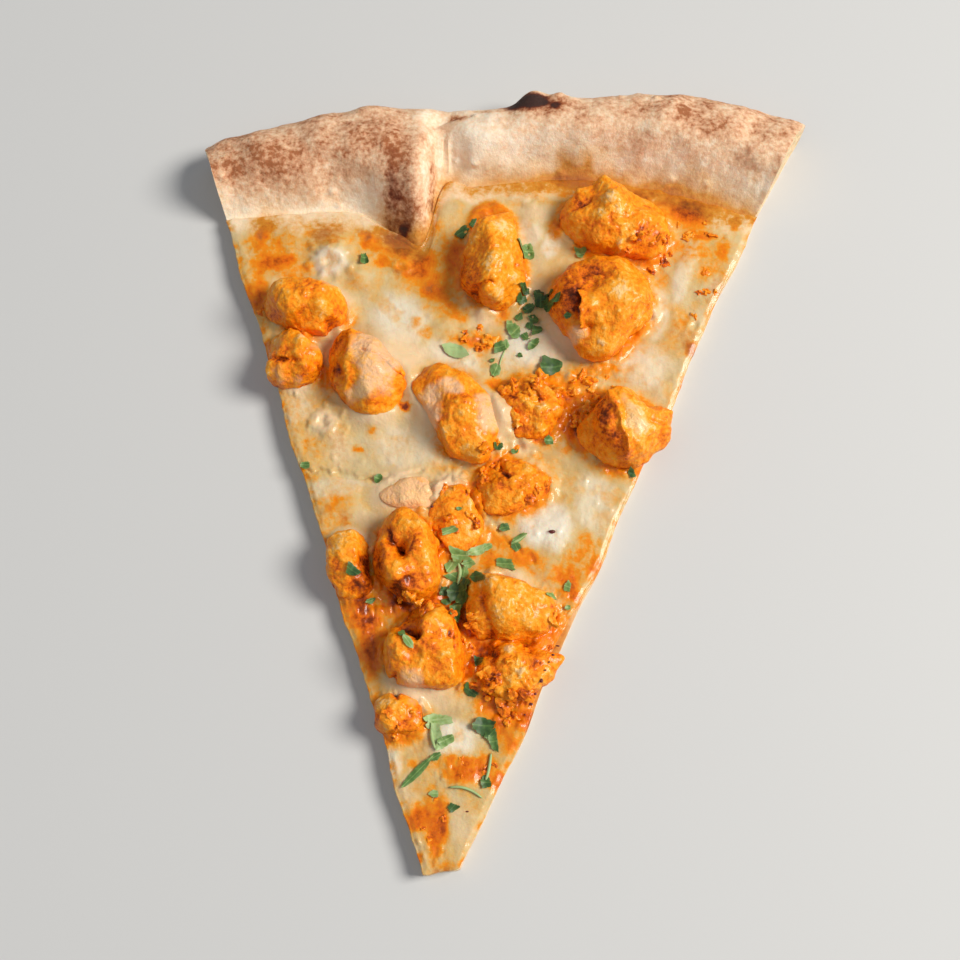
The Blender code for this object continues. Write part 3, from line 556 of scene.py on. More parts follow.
oilPools = [  # broad golden stains that the buttery sauce leaves in the cheese
    (-72, 66, 7, 11, 0, 0.46), (-72.5, 47, 5, 13, 12, 0.52), (-51.5, 69, 11, 8, 0, 0.34),
    (-35, 66, 9, 8, 0, 0.5), (-24, 60, 8, 11, 20, 0.58), (-15.5, 50, 7, 7, 0, 0.52),
    (-13.5, 60, 6, 13, 0, 0.52), (0, 46.5, 10, 4.5, 0, 0.44), (-6, 35, 9, 4.5, 0, 0.48),
    (12, 91, 30, 4.6, 4, 0.46), (26, 91.5, 11, 4.6, 0, 0.66), (47, 87, 16, 7, -8, 0.55),
    (64, 86, 11, 8, -10, 0.52), (60, 72, 9, 8, 0, 0.44), (66, 64, 7, 9, -20, 0.34),
    (57, 44, 5, 7, 0, 0.3), (47, 62, 6, 8, 0, 0.36), (20, 27, 12, 5, 0, 0.4), (33, 28, 11, 4, 0, 0.44),
    (21, 17, 12, 11, 0, 0.66), (25, 11, 6, 9, 0, 0.72), (46, -3, 7, 4, 0, 0.52),
    (-48, 10, 6, 9, 20, 0.36), (-53, 17, 4, 5, 0, 0.32), (-44, -18, 6, 8, 0, 0.36),
    (-43, -28, 6, 5, 0, 0.46), (-27, -13.5, 9, 4.5, 0, 0.36), (-11, -18, 9, 14, 0, 0.66),
    (8, -10, 12, 10, 0, 0.74), (-38, -44, 7, 10, 10, 0.62), (-30, -56, 6, 14, 14, 0.7),
    (-20, -46, 11, 7, 0, 0.78), (-4, -53, 9, 13, 0, 0.76), (11, -50, 14, 12, 0, 0.7),
    (16, -63, 10, 9, 0, 0.76), (11, -76, 8, 9, 0, 0.66), (-3, -68, 6, 6, 0, 0.52),
    (-25, -72, 4, 8, 14, 0.44), (-20, -81, 7, 5, 0, 0.36), (31, -30, 3.4, 8, 14, 0.5),
    (26, -38, 5, 8, 8, 0.56), (10, -33, 14, 4, -6, 0.4), (-6, -94, 5, 3.4, 0, 0.3),
    (1, -92.5, 10, 4.4, 0, 0.62), (-9, -108, 6, 12, 0, 0.5), (-19, -95, 4, 7, 12, 0.24),
    (0, -106, 5, 9, 12, 0.34), (-60, 3, 3.4, 12, 12, 0.22), (-50, -1, 6, 9, 20, 0.34),
    (-29, -1, 12, 4, 0, 0.16), (36, -24, 3, 8, 14, 0.3), (-60, 74, 20, 3, 4, 0.08),
    (-44, 52, 6, 4, 0, 0.28), (-64, 56, 9, 5, 0, 0.46), (20, 58, 5, 9, 0, 0.26),
    (12, 84, 12, 5, 0, 0.26), (52, 36, 5, 5, 0, 0.24), (-57, 6, 7, 9, 12, 0.3), (-47, 3, 6, 8, 20, 0.46),
    (-24, 1, 9, 7, 0, 0.18), (-62, 66, 14, 9, 0, 0.34), (-68, 50, 9, 8, 0, 0.32),
]
milkPools = [
    (-28.6, 41.1, 9, 8, -30, 0.7), (-22.7, 0.6, 12, 6.6, 8, 0.5), (18.7, -21.3, 7.6, 7.2, 0, 1),
    (33, -14, 6, 9, 10, 0.45), (46, 30.7, 8, 7, 0, 0.5), (-5, -84.4, 7, 5, 0, 0.8),
    (-21.5, -93.3, 4, 4.2, 0, 0.7), (12, 35, 8, 6.4, 0, 0.8), (-51.7, 59, 5.2, 4.2, 0, 0.9),
    (9, 73, 3.6, 4.6, 0, 0.4), (58, 62, 3, 10, -14, 0.5), (-43, -13.6, 8, 3, 10, 0.5),
    (4.8, 30, 5, 3.6, 0, 0.5), (16.6, 69.2, 2.6, 5, 0, 0.7), (50, 48, 3, 8, 0, 0.5),
    (-12, 30, 9, 4, -20, 0.7), (-57, 10, 4, 5, 0, 0.4),
]
filmPools = [
    (-26, 29, 8, 7, -30, 0.9), (-22, 15, 4, 8, 0, 0.8), (-48.5, 6.7, 4.4, 4.4, 0, 0.9),
    (-44, -1, 4, 6, 20, 0.7), (6, 12, 6, 8, 0, 0.8), (-12.9, -71.9, 8.4, 4.2, -14, 1),
    (-11.2, -12.3, 6.4, 4.6, 0, 0.8), (20, 36, 5, 8, 0, 0.7), (-32, -22.6, 7, 3, 10, 0.5),
    (-16, -101, 4, 4, 0, 0.7), (-1, -108, 4, 6, 0, 0.6), (-12, -117, 3, 4, 0, 0.6),
    (68, 52, 4, 12, -14, 0.4), (-66, 48, 4, 5, 0, 0.3), (10.4, 1.4, 3.6, 3.6, 0, 0.9),
    (-3.6, 43, 4.2, 3, 0, 0.9), (11.4, 80.2, 4, 3.4, 0, 0.7), (-48, 33, 4, 8, 0, 0.4),
]
rubblePatches = [  # where shreds of chicken lie thick in the sauce
    (22, 19, 12, 11, 0, 1), (8, -3, 10, 8, 0, 0.9), (-7, -16, 9, 12, 0, 0.9), (24, -50, 5, 10, 20, 0.9),
    (-3, -52, 7, 13, 0, 0.8), (14, -72, 11, 8, 0, 1), (-26, -48, 9, 7, 0, 0.7), (-6, 36, 8, 4, 0, 0.8),
    (46, 66, 7, 6, 0, 0.8), (33, 28, 9, 4, 0, 0.7), (-72, 36, 4, 9, 10, 0.8), (-21, -84, 8, 5, 0, 0.8),
    (-1, 46, 9, 4, 0, 0.5), (60, 3, 5, 5, 0, 0.8),
]
toastSpots = [
    (-53.5, 68.6, 5.6, 3.8, 20, 0.5), (-31, 69, 6, 2.6, 0, 0.8), (60.6, 36.5, 3.4, 3.4, 0, 0.62),
    (68, 57, 2.6, 3.6, 0, 0.4), (58, 41, 4, 3, 0, 0.34), (-40.6, 69.5, 3, 2, 0, 0.55),
    (-5, 36, 2, 2.2, 0, 0.4), (-30, 57, 1.6, 2.4, 0, 0.4), (-45.1, -20.8, 1.6, 1.6, 0, 0.35),
    (-40, -22.6, 2, 2.2, 0, 0.45), (-27.3, -14.6, 2.6, 1.6, 0, 0.3), (-20, 53, 2, 2, 0, 0.3),
    (67, 53, 2.6, 5, -14, 0.32), (48, -17, 2, 3, 0, 0.2), (-74.6, 68, 1.8, 4.4, 0, 0.4),
    (-20.6, -97.8, 1.7, 1.4, 0, 0.5), (-64, -1, 1, 1.6, 0, 0.4), (-4.8, -120.2, 4.4, 1.4, 0, 0.5),
    (24, 92, 5, 2, 0, 0.5), (-44, 0, 3, 5, 20, 0.28), (-66, 76, 8, 1.6, 0, 0.2),
]


footStainAndShade = {  # the golden stain along the foot of the crust, with painted shade in the crease there: how strong by angle, how far it reaches
    "angles": (-21.4, -17, -13, -10, -8, -5.5, -3.6, -1.5, 2, 5, 6.6, 8.5, 11, 14.5, 18, 21.4),
    "amounts": (0.1, 0.08, 0.1, 0.16, 0.5, 0.66, 0.44, 0.42, 0.5, 0.66, 0.98, 0.74, 0.58, 0.8, 0.64, 0.56),
    "upwards": 8.5,
    "downwards": 8,
}


def stainAndShadeAtFoot(u, away, flat):
    # the stain and painted shade at a distance up the crust from its foot (negative on the cheese)
    amount = through(degreesAt(u) + 0 * away, footStainAndShade["angles"], footStainAndShade["amounts"])
    uneven = 1 + 0.35 * roughGrain(flat, 7.0, 471)
    reach = np.where(away > 0, footStainAndShade["upwards"], footStainAndShade["downwards"]) * uneven
    return amount * ease(np.abs(away), 1.25 * reach, -0.1 * reach) * (0.9 + 0.3 * grain(flat, 4.0, 475))


def spread(x, y, spots, soft=0.7):
    # the strongest of several ovals: full inside, falling off softly round each edge
    total = np.zeros(np.broadcast(x, y).shape)
    for spotX, spotY, halfWidth, halfHeight, turn, amount in spots:
        cosine, sine = math.cos(math.radians(turn)), math.sin(math.radians(turn))
        across = ((x - spotX) * cosine + (y - spotY) * sine) / halfWidth
        along = ((y - spotY) * cosine - (x - spotX) * sine) / halfHeight
        total = np.maximum(total, amount * ease(np.hypot(across, along), 1 + soft, 1 - soft))
    return total


def strayed(x, y, size, reach, seed):
    # the same places moved about by noise, so that what is laid there has a ragged edge
    flat = withHeight(x, y, 0.0)
    return x + reach * roughGrain(flat, size, seed), y + reach * roughGrain(flat, size, seed + 50)


def lineDistance(x, y, stops):
    # distance to the nearest of the straight runs between the stops
    nearest = np.full(np.broadcast(x, y).shape, 99.0)
    for (startX, startY), (endX, endY) in zip(stops[:-1], stops[1:]):
        runX, runY = endX - startX, endY - startY
        t = np.clip(((x - startX) * runX + (y - startY) * runY) / (runX**2 + runY**2), 0, 1)
        nearest = np.minimum(nearest, np.hypot(x - startX - t * runX, y - startY - t * runY))
    return nearest


def turnsBetween(azimuth, middle):
    # the angle from the middle to each azimuth in degrees, from -180 to 180
    return (np.degrees(azimuth) - middle + 180) % 360 - 180


# Chicken: where each chunk sits and how it looks. Its outline is the reach from its middle every
# 45 degrees, and its height is over the cheese. crumb is how lumpy it is and fibre how stringy.
# marks push its skin in or out: azimuth, elevation, width in degrees, change of radius. spots
# are lumps and dents seen from above: x, y, reach, rise, and the tone if it has one (deeper above
# 0, paler below): partly sauce and bare meat, partly painted shade on the sides away from the
# window and in the gaps between chunks, and painted light on the sides towards it. film is cheese
# drawn over it: x, y, reach, amount. drape is where the cheese has run up its side: azimuth, width
# in degrees, height, reach.

chunks = {
    "chicken_01": {
        "at": (-2, 60.3), "height": 15, "crumb": 0.25, "fibre": 1,
        "outline": (10, 11.5, 21.5, 9.5, 9, 12.5, 16.5, 13.5),
        "marks": [(80, 55, 30, 0.12), (250, 35, 28, 0.1), (200, 20, 20, -0.12)],
        "spots": [
            (-4.6, 75.1, 1.7, 1.2), (0.7, 47.2, 1.7, 1.4), (-2.6, 46.8, 1.4, 0.8), (-6.8, 65, 1.7, 0.7),
            (2.5, 57.2, 2.3, 0.7), (5.8, 52.8, 1.4, 0.6, -0.3), (0.3, 68.4, 2.6, 0, -0.3),
            (-2.8, 54.8, 1.7, 0, -0.32), (1.8, 58, 2.3, 0, -0.26), (-6.4, 63.5, 1.4, 0, -0.22),
            (1.6, 48.2, 1.7, 0, -0.3), (-10.8, 55.4, 2.6, 0, 0.34), (-6.8, 50.9, 2.3, 0, 0.26),
            (-3.5, 56.3, 1.2, 0, 0.16), (-12.7, 60.6, 1.7, 0, 0.3),
        ],
    },
    "chicken_02": {
        "at": (34.5, 77.3), "height": 13, "crumb": 0.5, "fibre": 0.3,
        "outline": (18, 12, 12, 12.5, 17, 13, 11.5, 18.5),
        "marks": [(95, 60, 26, 0.16), (200, 40, 24, -0.16), (20, 45, 25, -0.1)],
        "spots": [
            (31.5, 88.3, 1.7, 1.6), (24.6, 84.1, 1.7, 1.4), (23.3, 75.1, 1.7, 1.2), (32.7, 80.2, 2.3, 0.8),
            (44.7, 77.4, 1.4, 1.2, -0.22), (42.2, 72.7, 1.4, 1), (47.2, 72.8, 1.4, 1),
            (37.5, 67.1, 1.4, 1, -0.3), (31.9, 67.8, 1.4, 0.8), (49.6, 77.6, 1.2, 1),
            (28.1, 76.2, 1.7, 0.6), (23.8, 79.8, 1.4, 0, 0.34), (34.7, 70.3, 1.7, 0, 0.22),
            (43.8, 70.2, 1.7, 0, 0.26), (38.4, 80.3, 1.2, 0, 0.14), (49.9, 70.2, 1.7, 0, 0.3),
            (29.6, 71.4, 2.3, 0, 0.12), (32.7, 81.2, 2.3, 0, -0.42), (35.6, 76.3, 1.7, 0, -0.36),
            (30.6, 75.2, 1.7, 0, -0.22), (39.4, 71.3, 1.4, 0, -0.3), (23.7, 85.3, 1.4, 0, -0.22),
        ],
    },
    "chicken_03": {
        "at": (33, 47.3), "height": 16, "crumb": 0.25, "fibre": 0.8,
        "outline": (16, 18, 16, 16, 16.5, 14, 16.5, 12.5),
        "marks": [(215, 50, 24, 0.12), (150, 60, 22, -0.14), (248, 5, 16, 0.16)],
        "spots": [
            (27.5, 58, 7, 0, 0.08), (21.5, 49, 7, 0, 0.24), (27.5, 42.6, 2, 1.4), (34.2, 32.5, 2.6, 1),
            (37.8, 48.5, 3.5, 0.8, -0.3), (43.7, 47.1, 2.3, 0.6), (29.9, 60.5, 2.3, 0.8),
            (21.9, 53.3, 2.3, 0.8), (30.9, 39.2, 1.7, 0.8), (23.2, 45.5, 1.7, -1.4),
            (28.7, 37, 1.4, -1.3, 0.34), (33.4, 45.1, 1.7, -0.7), (22.7, 48.1, 2.6, 0, 0.34),
            (28.2, 55.1, 2.6, 0, 0.06), (33.3, 53.9, 1.7, 0, 0.06), (22, 42.2, 2, 0, 0.3),
            (40.3, 60.9, 1.7, 0, 0.16), (43.7, 44.8, 2.3, 0, -0.2), (32.3, 32.9, 1.7, 0, -0.22),
            (24.8, 63.5, 2.3, 0, -0.14), (29.1, 45.1, 1.4, 0, -0.14),
        ],
        "film": [(24.6, 36.6, 1.7, 0.8), (26.8, 34.9, 1.2, 0.5)],
        "drape": [(215, 40, 2.6, 3.6)],
    },
    "chicken_04": {
        "at": (-58, 41.8), "height": 12, "crumb": 0.3, "fibre": 0.4,
        "outline": (14, 10, 8.5, 11, 12.5, 8.5, 8, 12),
        "marks": [(300, 20, 18, 0.1), (150, 60, 26, 0.08)],
        "spots": [
            (-64.5, 45.5, 2.3, 1), (-57, 44.2, 2, 0.9), (-51.2, 40.1, 2.3, 0.9, -0.3),
            (-52.7, 33.1, 1.7, 1), (-49, 47.6, 2, 0.6), (-61.5, 39.8, 2, 0.6), (-60.4, 45.3, 1.2, -0.7),
            (-54.7, 42.4, 1.2, -0.5), (-48.2, 35.4, 1.7, -1.8, 0.5), (-60.3, 43.7, 1.2, 0, 0.16),
            (-52.9, 46.1, 1.2, 0, 0.12), (-67.2, 38.1, 1.7, 0, 0.3), (-58.4, 36.9, 2, 0, 0.18),
            (-46.7, 39.8, 1.7, 0, 0.26), (-65, 46.8, 1.7, 0, -0.3), (-58.5, 48.9, 1.4, 0, -0.22),
            (-58.3, 40.4, 1.4, 0, -0.2), (-64.8, 28.9, 2, 1.3),
        ],
        "film": [(-49.7, 51, 2.6, 0.6), (-45.7, 48.8, 1.7, 0.6)],
        "drape": [(40, 40, 2.5, 3.5)],
    },
    "chicken_05": {
        "at": (-59, 24.8), "height": 11, "crumb": 0.38, "fibre": 0.4,
        "outline": (8, 7.5, 9, 10, 8, 10, 8.5, 9),
        "marks": [(160, 35, 22, -0.14), (60, 60, 24, 0.08)],
        "spots": [
            (-56.5, 28.3, 2, 1), (-61.7, 19.2, 2, 1), (-55.1, 20.8, 2.3, 0.8), (-52.4, 25.4, 1.7, 0.6),
            (-60.2, 26.1, 1.4, -0.7, 0.14), (-62.4, 22.3, 1.7, 0, 0.38), (-55.1, 19.6, 2, 0, 0.26),
            (-50.9, 21.9, 1.4, 0, 0.3), (-67.3, 27, 1.2, 0, 0.2), (-64.7, 29.1, 1.4, 0, -0.18),
            (-56.6, 29.3, 1.7, 0, -0.36), (-43.3, 30.9, 2, 1.2),
        ],
        "film": [(-52.5, 28.4, 1.7, 0.7), (-62.7, 18.9, 2, 0.6), (-56.9, 17.4, 1.7, 0.5)],
        "drape": [(280, 30, 2, 2.5)],
    },
    "chicken_06": {
        "at": (-36.5, 21.3), "height": 13, "crumb": 0.2, "fibre": 0.6,
        "outline": (11.5, 9, 12, 14.5, 11.5, 11, 13, 13),
        "marks": [(118, 15, 18, 0.14), (130, 62, 24, 0.12), (20, 50, 34, -0.12)],
        "spots": [
            (-43.1, 22.7, 2, 1.2), (-42.7, 16.2, 2, 0.9), (-33.8, 21.1, 2.9, 0.7),
            (-26.7, 18.7, 2, 0.9, 0.2), (-36.7, 14.2, 2.3, 0.6), (-38.9, 26.2, 2, -0.9),
            (-46.3, 28, 2, 0, 0.34), (-45.7, 21, 2, 0, 0.34), (-46.7, 16.6, 1.7, 0, 0.24),
            (-40.2, 18.1, 1.4, 0, 0.16), (-30.6, 14.3, 1.7, 0, 0.14), (-41.8, 22.4, 1.4, 0, -0.1),
            (-37.5, 13.2, 2, 0, -0.22),
        ],
        "film": [
            (-35.7, 30, 3.5, 1), (-29.6, 26.5, 3.5, 1), (-33.7, 19.6, 2.6, 0.85), (-36.4, 14.8, 2.3, 0.75),
            (-38.8, 25.2, 2.3, 0.8), (-30.9, 16.1, 1.7, 0.6), (-40.6, 12.5, 1.7, 0.6),
        ],
        "drape": [(50, 60, 6, 6), (280, 50, 4, 4.5)],
    },
    "chicken_07": {
        "at": (-9.5, 11.3), "height": 12, "crumb": 0.25, "fibre": 0.9,
        "outline": (13.5, 10.5, 13, 18, 10, 9, 14.5, 15.5),
        "marks": [(301, 10, 16, 0.22), (150, 45, 26, -0.08)],
        "spots": [
            (-4, 2, 6, 0, -0.03), (-14.7, 18.9, 2.3, 1), (-5.9, 12.3, 2, 1, 0.16), (-11.9, 9.7, 2.3, 0.7),
            (-7, 2, 2.6, 0.9), (-2.1, -2.2, 1.7, 1.6), (0.6, 12.3, 2.3, 0.6), (-16, 12.8, 1.7, -0.8),
            (-10.9, 16.4, 1.4, -0.5), (-1.9, 14.6, 1.2, -0.5), (-14.1, 10.9, 1.4, 0, 0.16),
            (0.4, -3.6, 1.4, 0, 0.2), (-13.5, 5.7, 1.4, 0, 0.14), (-8.5, 7.4, 1.7, 0, -0.16),
            (-5.4, -1.2, 1.4, 0, -0.22), (-10.7, 3.6, 1.7, 0, -0.14), (5.2, 20.9, 2, 2),
        ],
        "film": [
            (-17.4, 14.8, 2, 1), (-17.1, 9.4, 2, 1), (-15.7, 6.1, 1.4, 0.8), (-11.6, 17.7, 1.7, 0.85),
            (-8.5, 15.6, 1.4, 0.7), (-0.4, 13.2, 2.3, 1), (0.8, 9.3, 2.3, 1), (-1.1, 6, 1.4, 0.7),
        ],
        "drape": [(190, 50, 5.5, 4.5), (10, 55, 5.5, 4.5)],
    },
    "chicken_08": {
        "at": (12.5, 13.8), "height": 6, "crumb": 0.8, "fibre": 0.2,
        "outline": (11, 10, 10.5, 10.5, 10, 9, 10.5, 10),
        "marks": [(160, 40, 22, 0.2), (30, 50, 20, -0.25), (280, 45, 20, -0.2)],
        "spots": [
            (13.6, 18.8, 1.4, 1.4), (15.6, 13.8, 1.4, 1.2, -0.26), (11.5, 13.9, 1.4, 1, -0.2),
            (19.6, 18.9, 1.7, 0.8), (20.1, 13.9, 1.4, 1), (15.8, 7, 1.4, 1.4, -0.36), (10.2, 9.7, 1.2, 0.8),
            (17.9, 9.6, 1.2, 0.9), (6.9, 16.2, 1.7, -1.2, 0.42), (12.6, 8.9, 1.4, -0.9),
            (17, 16.1, 1.2, -0.8), (7.8, 7.2, 1.7, 0, 0.46), (11.9, 6.5, 2, 0, 0.3),
            (26, 13.1, 2.3, 0, 0.34), (20.1, 15.4, 1.4, 0, 0.14), (9.5, 12.2, 1.4, 0, 0.16),
            (5.2, 20.8, 1.4, 0, -0.4), (18.3, 19.7, 1.7, 0, -0.26), (9.2, 17.6, 1.2, 0, -0.16),
        ],
        "film": [(21.1, 19.4, 1.7, 0.45), (3.6, 11.4, 1.4, 0.6)],
        "drape": [(200, 30, 2, 2.5)],
    },
    "chicken_09": {
        "at": (40, 9.3), "height": 13, "crumb": 0.4, "fibre": 0.5,
        "outline": (15, 10.5, 12, 11.5, 14, 12, 13, 13),
        "marks": [(21, 6, 12, 0.34), (52, 10, 13, -0.16), (110, 65, 24, 0.1)],
        "spots": [
            (37.2, 17.2, 2.3, 1.2), (42.8, 10.2, 2.6, 0.9), (34.1, 8.3, 2.6, 0.9, 0.4),
            (49.8, 13.7, 1.4, 1.6), (51.6, 10.8, 1.2, 1.2), (47.5, 6.3, 1.7, 1),
            (40.4, -0.9, 1.7, 1.2, 0.22), (44.9, 1.6, 1.4, 0.8), (55.2, 16.3, 1.2, 1.4),
            (38.7, 1.2, 1.4, -0.8), (47.8, 9.4, 1.2, -0.8), (35.3, 11.7, 2.3, 0, 0.34),
            (37.4, 3.3, 2.3, 0, 0.34), (32.3, 13.3, 2, 0, 0.2), (50, 14.7, 1.2, 0, 0.16),
            (42.7, 11.4, 2.6, 0, -0.42), (44.9, 7, 2.3, 0, -0.46), (39.3, 17.3, 1.7, 0, -0.14),
            (41.4, 7.6, 1.7, 0, -0.4), (48.8, 6.5, 1.4, 0, -0.18),
        ],
        "film": [
            (41.5, 12.2, 1.7, 0.45), (44.8, 7.6, 2.3, 0.6), (42.4, 4.1, 1.7, 0.45), (39.5, 15.4, 1.2, 0.5),
        ],
    },
    "chicken_10": {
        "at": (9.5, -10.7), "height": 7, "crumb": 0.6, "fibre": 0.3,
        "outline": (11, 9, 8, 10, 12, 11.5, 8, 7),
        "marks": [(15, 5, 18, 0.16), (120, 55, 22, 0.08)],
        "spots": [
            (16.7, -7.3, 1.7, 1.2), (10.1, -15, 1.2, 1.4, -0.42), (3.6, -14.2, 2, 0.8),
            (11.9, -6.3, 1.7, 0.7, -0.18), (2.4, -17.6, 1.4, 0.9), (7.9, -17.6, 1.4, 0.9),
            (14.3, -11.7, 1.4, 0.6), (7.8, -11.2, 1.7, 0.6), (5.6, -8, 1.4, -1, 0.34),
            (2.4, -3.5, 1.4, -1, 0.46), (7.3, -12.1, 1.7, 0, 0.12), (18.1, -10, 1.4, 0, 0.14),
            (17.2, -3.5, 1.7, 0, -0.3), (2.8, -15.5, 1.2, 0, -0.1),
        ],
        "film": [(18, -2.5, 1.7, 0.6), (14.7, -1.5, 1.2, 0.4)],
        "drape": [(60, 40, 2, 3)],
    },
    "chicken_11": {
        "at": (-20.5, -33.7), "height": 14, "crumb": 0.3, "fibre": 0.4,
        "outline": (9, 11, 12.5, 11.5, 10, 11.5, 14, 13),
        "marks": [(165, 76, 17, -0.42), (110, 35, 24, 0.12), (60, 60, 22, 0.12)],
        "spots": [
            (-23, -45.6, 3.2, -1, 0.75), (-28.5, -38, 3, 0, 0.25), (-23, -31, 6, 0, 0.16),
            (-17, -40, 5, 0, 0.12), (-21.9, -35.1, 1.4, -3, 0.46), (-18.6, -32.8, 2, 1.2, 0.12),
            (-14.9, -35.9, 2, 1.1, -0.3), (-17.5, -26.9, 2, 1, -0.26), (-27.4, -32.5, 2, 1.2),
            (-23.3, -41.4, 2.3, 1.5, -0.22), (-18.9, -38.7, 1.4, 0.6), (-14.4, -39.8, 1.4, 0.9),
            (-21.9, -26.6, 1.7, 0.8), (-19, -42.4, 1.2, -1.2, 0.3), (-24.8, -31.4, 1.4, 0, 0.24),
            (-14.1, -41.1, 1.7, 0, 0.22), (-30.7, -35.6, 1.4, 0, 0.24), (-28.1, -31.1, 1.2, 0, -0.2),
            (-17.7, -39.6, 1.2, 0, -0.2), (-20.8, -25.6, 1.2, 0, -0.2),
        ],
    },
    "chicken_12": {
        "at": (-37, -36.7), "height": 9, "crumb": 0.4, "fibre": 0.4,
        "outline": (6, 7.5, 9.5, 9, 7.5, 8, 11, 10),
        "marks": [(250, 30, 24, -0.1)],
        "spots": [
            (-32.4, -38, 3.4, -0.6, 0.3), (-33.4, -45, 3, -0.4, 0.22), (-39, -31.9, 2.6, 0.9, -0.26),
            (-36.2, -37.7, 2.3, 0.6, -0.16), (-39.9, -36.1, 1.7, 0.5), (-33, -36.1, 1.7, 0, 0.34),
            (-34.7, -43, 2, 0, 0.26), (-39.6, -40.3, 1.7, 0, 0.14), (-40.9, -35, 1.4, 0, -0.18),
        ],
        "film": [(-35.6, -26.6, 1.4, 0.5)],
        "drape": [(95, 60, 1.6, 3)],
    },
    "chicken_13": {
        "at": (-14, -60.2), "height": 12, "crumb": 0.4, "fibre": 0.3,
        "outline": (12, 12, 13, 9.5, 12, 13, 11.5, 15.5),
        "marks": [(137, 42, 17, -0.4), (95, 50, 22, 0.14), (165, 40, 18, 0.1)],
        "spots": [
            (-22, -49.2, 3.2, -1, 0.75), (-10.5, -57, 7, 0, 0.18), (-10.8, -53.6, 2.6, 1.2, -0.34),
            (-21.9, -57, 2.6, 1.2), (-11.9, -61, 2, 0.8, 0.14), (-8.2, -62.9, 2, 0.7, -0.28),
            (-19.7, -63.7, 2, 0.8), (-13.3, -65.2, 1.4, 0.8, -0.3), (-6, -67.7, 1.7, 0.8),
            (-15.8, -67.6, 1.7, 0.6), (-16.1, -57.7, 1.4, -2.6, 0.5), (-16.3, -63.4, 1.4, -0.8, 0.18),
            (-19.8, -55.5, 1.4, 0, 0.24), (-10.5, -67.9, 1.7, 0, 0.2), (-4.8, -60.1, 1.2, 0, 0.22),
            (-22.8, -61.6, 1.4, 0, 0.1), (-23.3, -57.4, 1.7, 0, -0.12), (-7.4, -58.4, 1.2, 0, -0.2),
        ],
        "film": [(-17.7, -70.3, 2, 0.8), (-14.3, -70.7, 1.7, 0.6)],
        "drape": [(262, 50, 3, 3.6)],
    },
    "chicken_14": {
        "at": (9, -47.2), "height": 11, "crumb": 0.3, "fibre": 0.5,
        "outline": (14, 9, 11, 13.5, 12, 12.5, 11, 13),
        "marks": [(300, 55, 30, -0.1), (120, 50, 26, 0.1)],
        "spots": [
            (6, -46, 9, 0, -0.04), (3.7, -40.8, 2.3, 1, -0.28), (8, -47.6, 3.2, 0.9, -0.22),
            (15.1, -51.7, 2, 0.7, -0.34), (1.4, -51.1, 1.7, 0.6), (18.2, -44.7, 2.3, 0.5),
            (10.7, -55.1, 1.7, 0.7), (3.6, -58.4, 2, -1.6, 0.44), (5.9, -54.5, 1.4, -0.6, 0.14),
            (0.8, -45.9, 1.7, 0, 0.26), (13.1, -48.2, 1.2, 0, 0.1), (8.9, -56.8, 1.7, 0, 0.22),
            (10.9, -42.9, 1.7, 0, -0.14), (17.4, -45.8, 1.4, 0, -0.18), (9.9, -59.8, 1.7, 2.2),
        ],
        "film": [(15.1, -52, 1.4, 0.4)],
        "drape": [(60, 50, 1.8, 3)],
    },
    "chicken_15": {
        "at": (12.5, -65.2), "height": 7, "crumb": 0.7, "fibre": 0.3,
        "outline": (11, 10, 9, 10, 12, 9.5, 9, 9),
        "marks": [(20, 5, 11, 0.34), (200, 35, 26, -0.18)],
        "spots": [
            (13.9, -65.5, 1.2, 1.3, -0.44), (17.7, -62.2, 1.4, 0.9), (7.4, -70.8, 1.4, 1.2, -0.2),
            (11.5, -69.3, 1.4, 1), (15.8, -69.7, 1.2, 0.9), (20.7, -60.3, 1.4, 0.9),
            (4.5, -60.1, 2, -1.8, 0.5), (16.5, -66, 1.2, -0.6), (17.5, -63.6, 1.7, 0, 0.28),
            (12.4, -73.7, 1.7, 0, 0.22), (8, -65.6, 1.7, 0, 0.24), (5.3, -68.1, 1.7, 0, 0.3),
            (9.9, -59.8, 1.4, 0, -0.52), (19.8, -58.6, 1.4, 0, -0.22),
        ],
        "film": [(9.9, -59.5, 1.2, 0.55)],
    },
    "chicken_16": {
        "at": (-19.5, -79.2), "height": 6, "crumb": 0.4, "fibre": 0.4,
        "outline": (7.5, 6.5, 6, 7, 8, 7.5, 6.5, 6.5),
        "marks": [(40, 50, 26, -0.14)],
        "spots": [
            (-24.2, -76.5, 1.7, 0.9, -0.26), (-18.2, -78.5, 1.7, 0.8), (-15.2, -81.7, 1.4, 0.6),
            (-21.1, -72.7, 1.2, -1.4, 0.44), (-25.9, -81.6, 1.4, 0, 0.24), (-17.7, -82.1, 1.7, 0, 0.14),
            (-16.6, -77, 1.2, 0, -0.2),
        ],
        "film": [(-15.4, -74.8, 1.4, 0.6)],
        "drape": [(60, 50, 2, 3)],
    },
    "chicken_17": {
        "at": (-7.5, -21.2), "height": 4.5, "crumb": 0.35, "fibre": 0.9,
        "outline": (8.5, 9, 12, 9.5, 8, 9, 11.5, 9.5),
        "marks": [(60, 60, 30, -0.1), (240, 60, 26, 0.1)],
        "spots": [
            (-3.5, -16.8, 1.4, 1.2, -0.4), (-12.6, -13.3, 1.7, 0.8, -0.3), (-8.4, -22.2, 2, 0.7),
            (-3, -24.9, 2, 0.6, -0.26), (-10.8, -17.8, 1.4, 0.6), (-12.9, -25.5, 1.4, -1, 0.36),
            (-6.4, -17.6, 1.2, -0.6), (1.2, -18.3, 1.7, 0, 0.26), (-5.9, -16, 1.2, 0, 0.14),
            (-7.7, -20.7, 1.2, 0, -0.16),
        ],
        "film": [(-13.2, -13.1, 2, 0.8), (-9.8, -10.4, 1.4, 0.6)],
        "drape": [(110, 60, 2, 3.6)],
    },
    "chicken_18": {
        "at": (-20.5, -14.2), "height": 4, "crumb": 0.3, "fibre": 0.4,
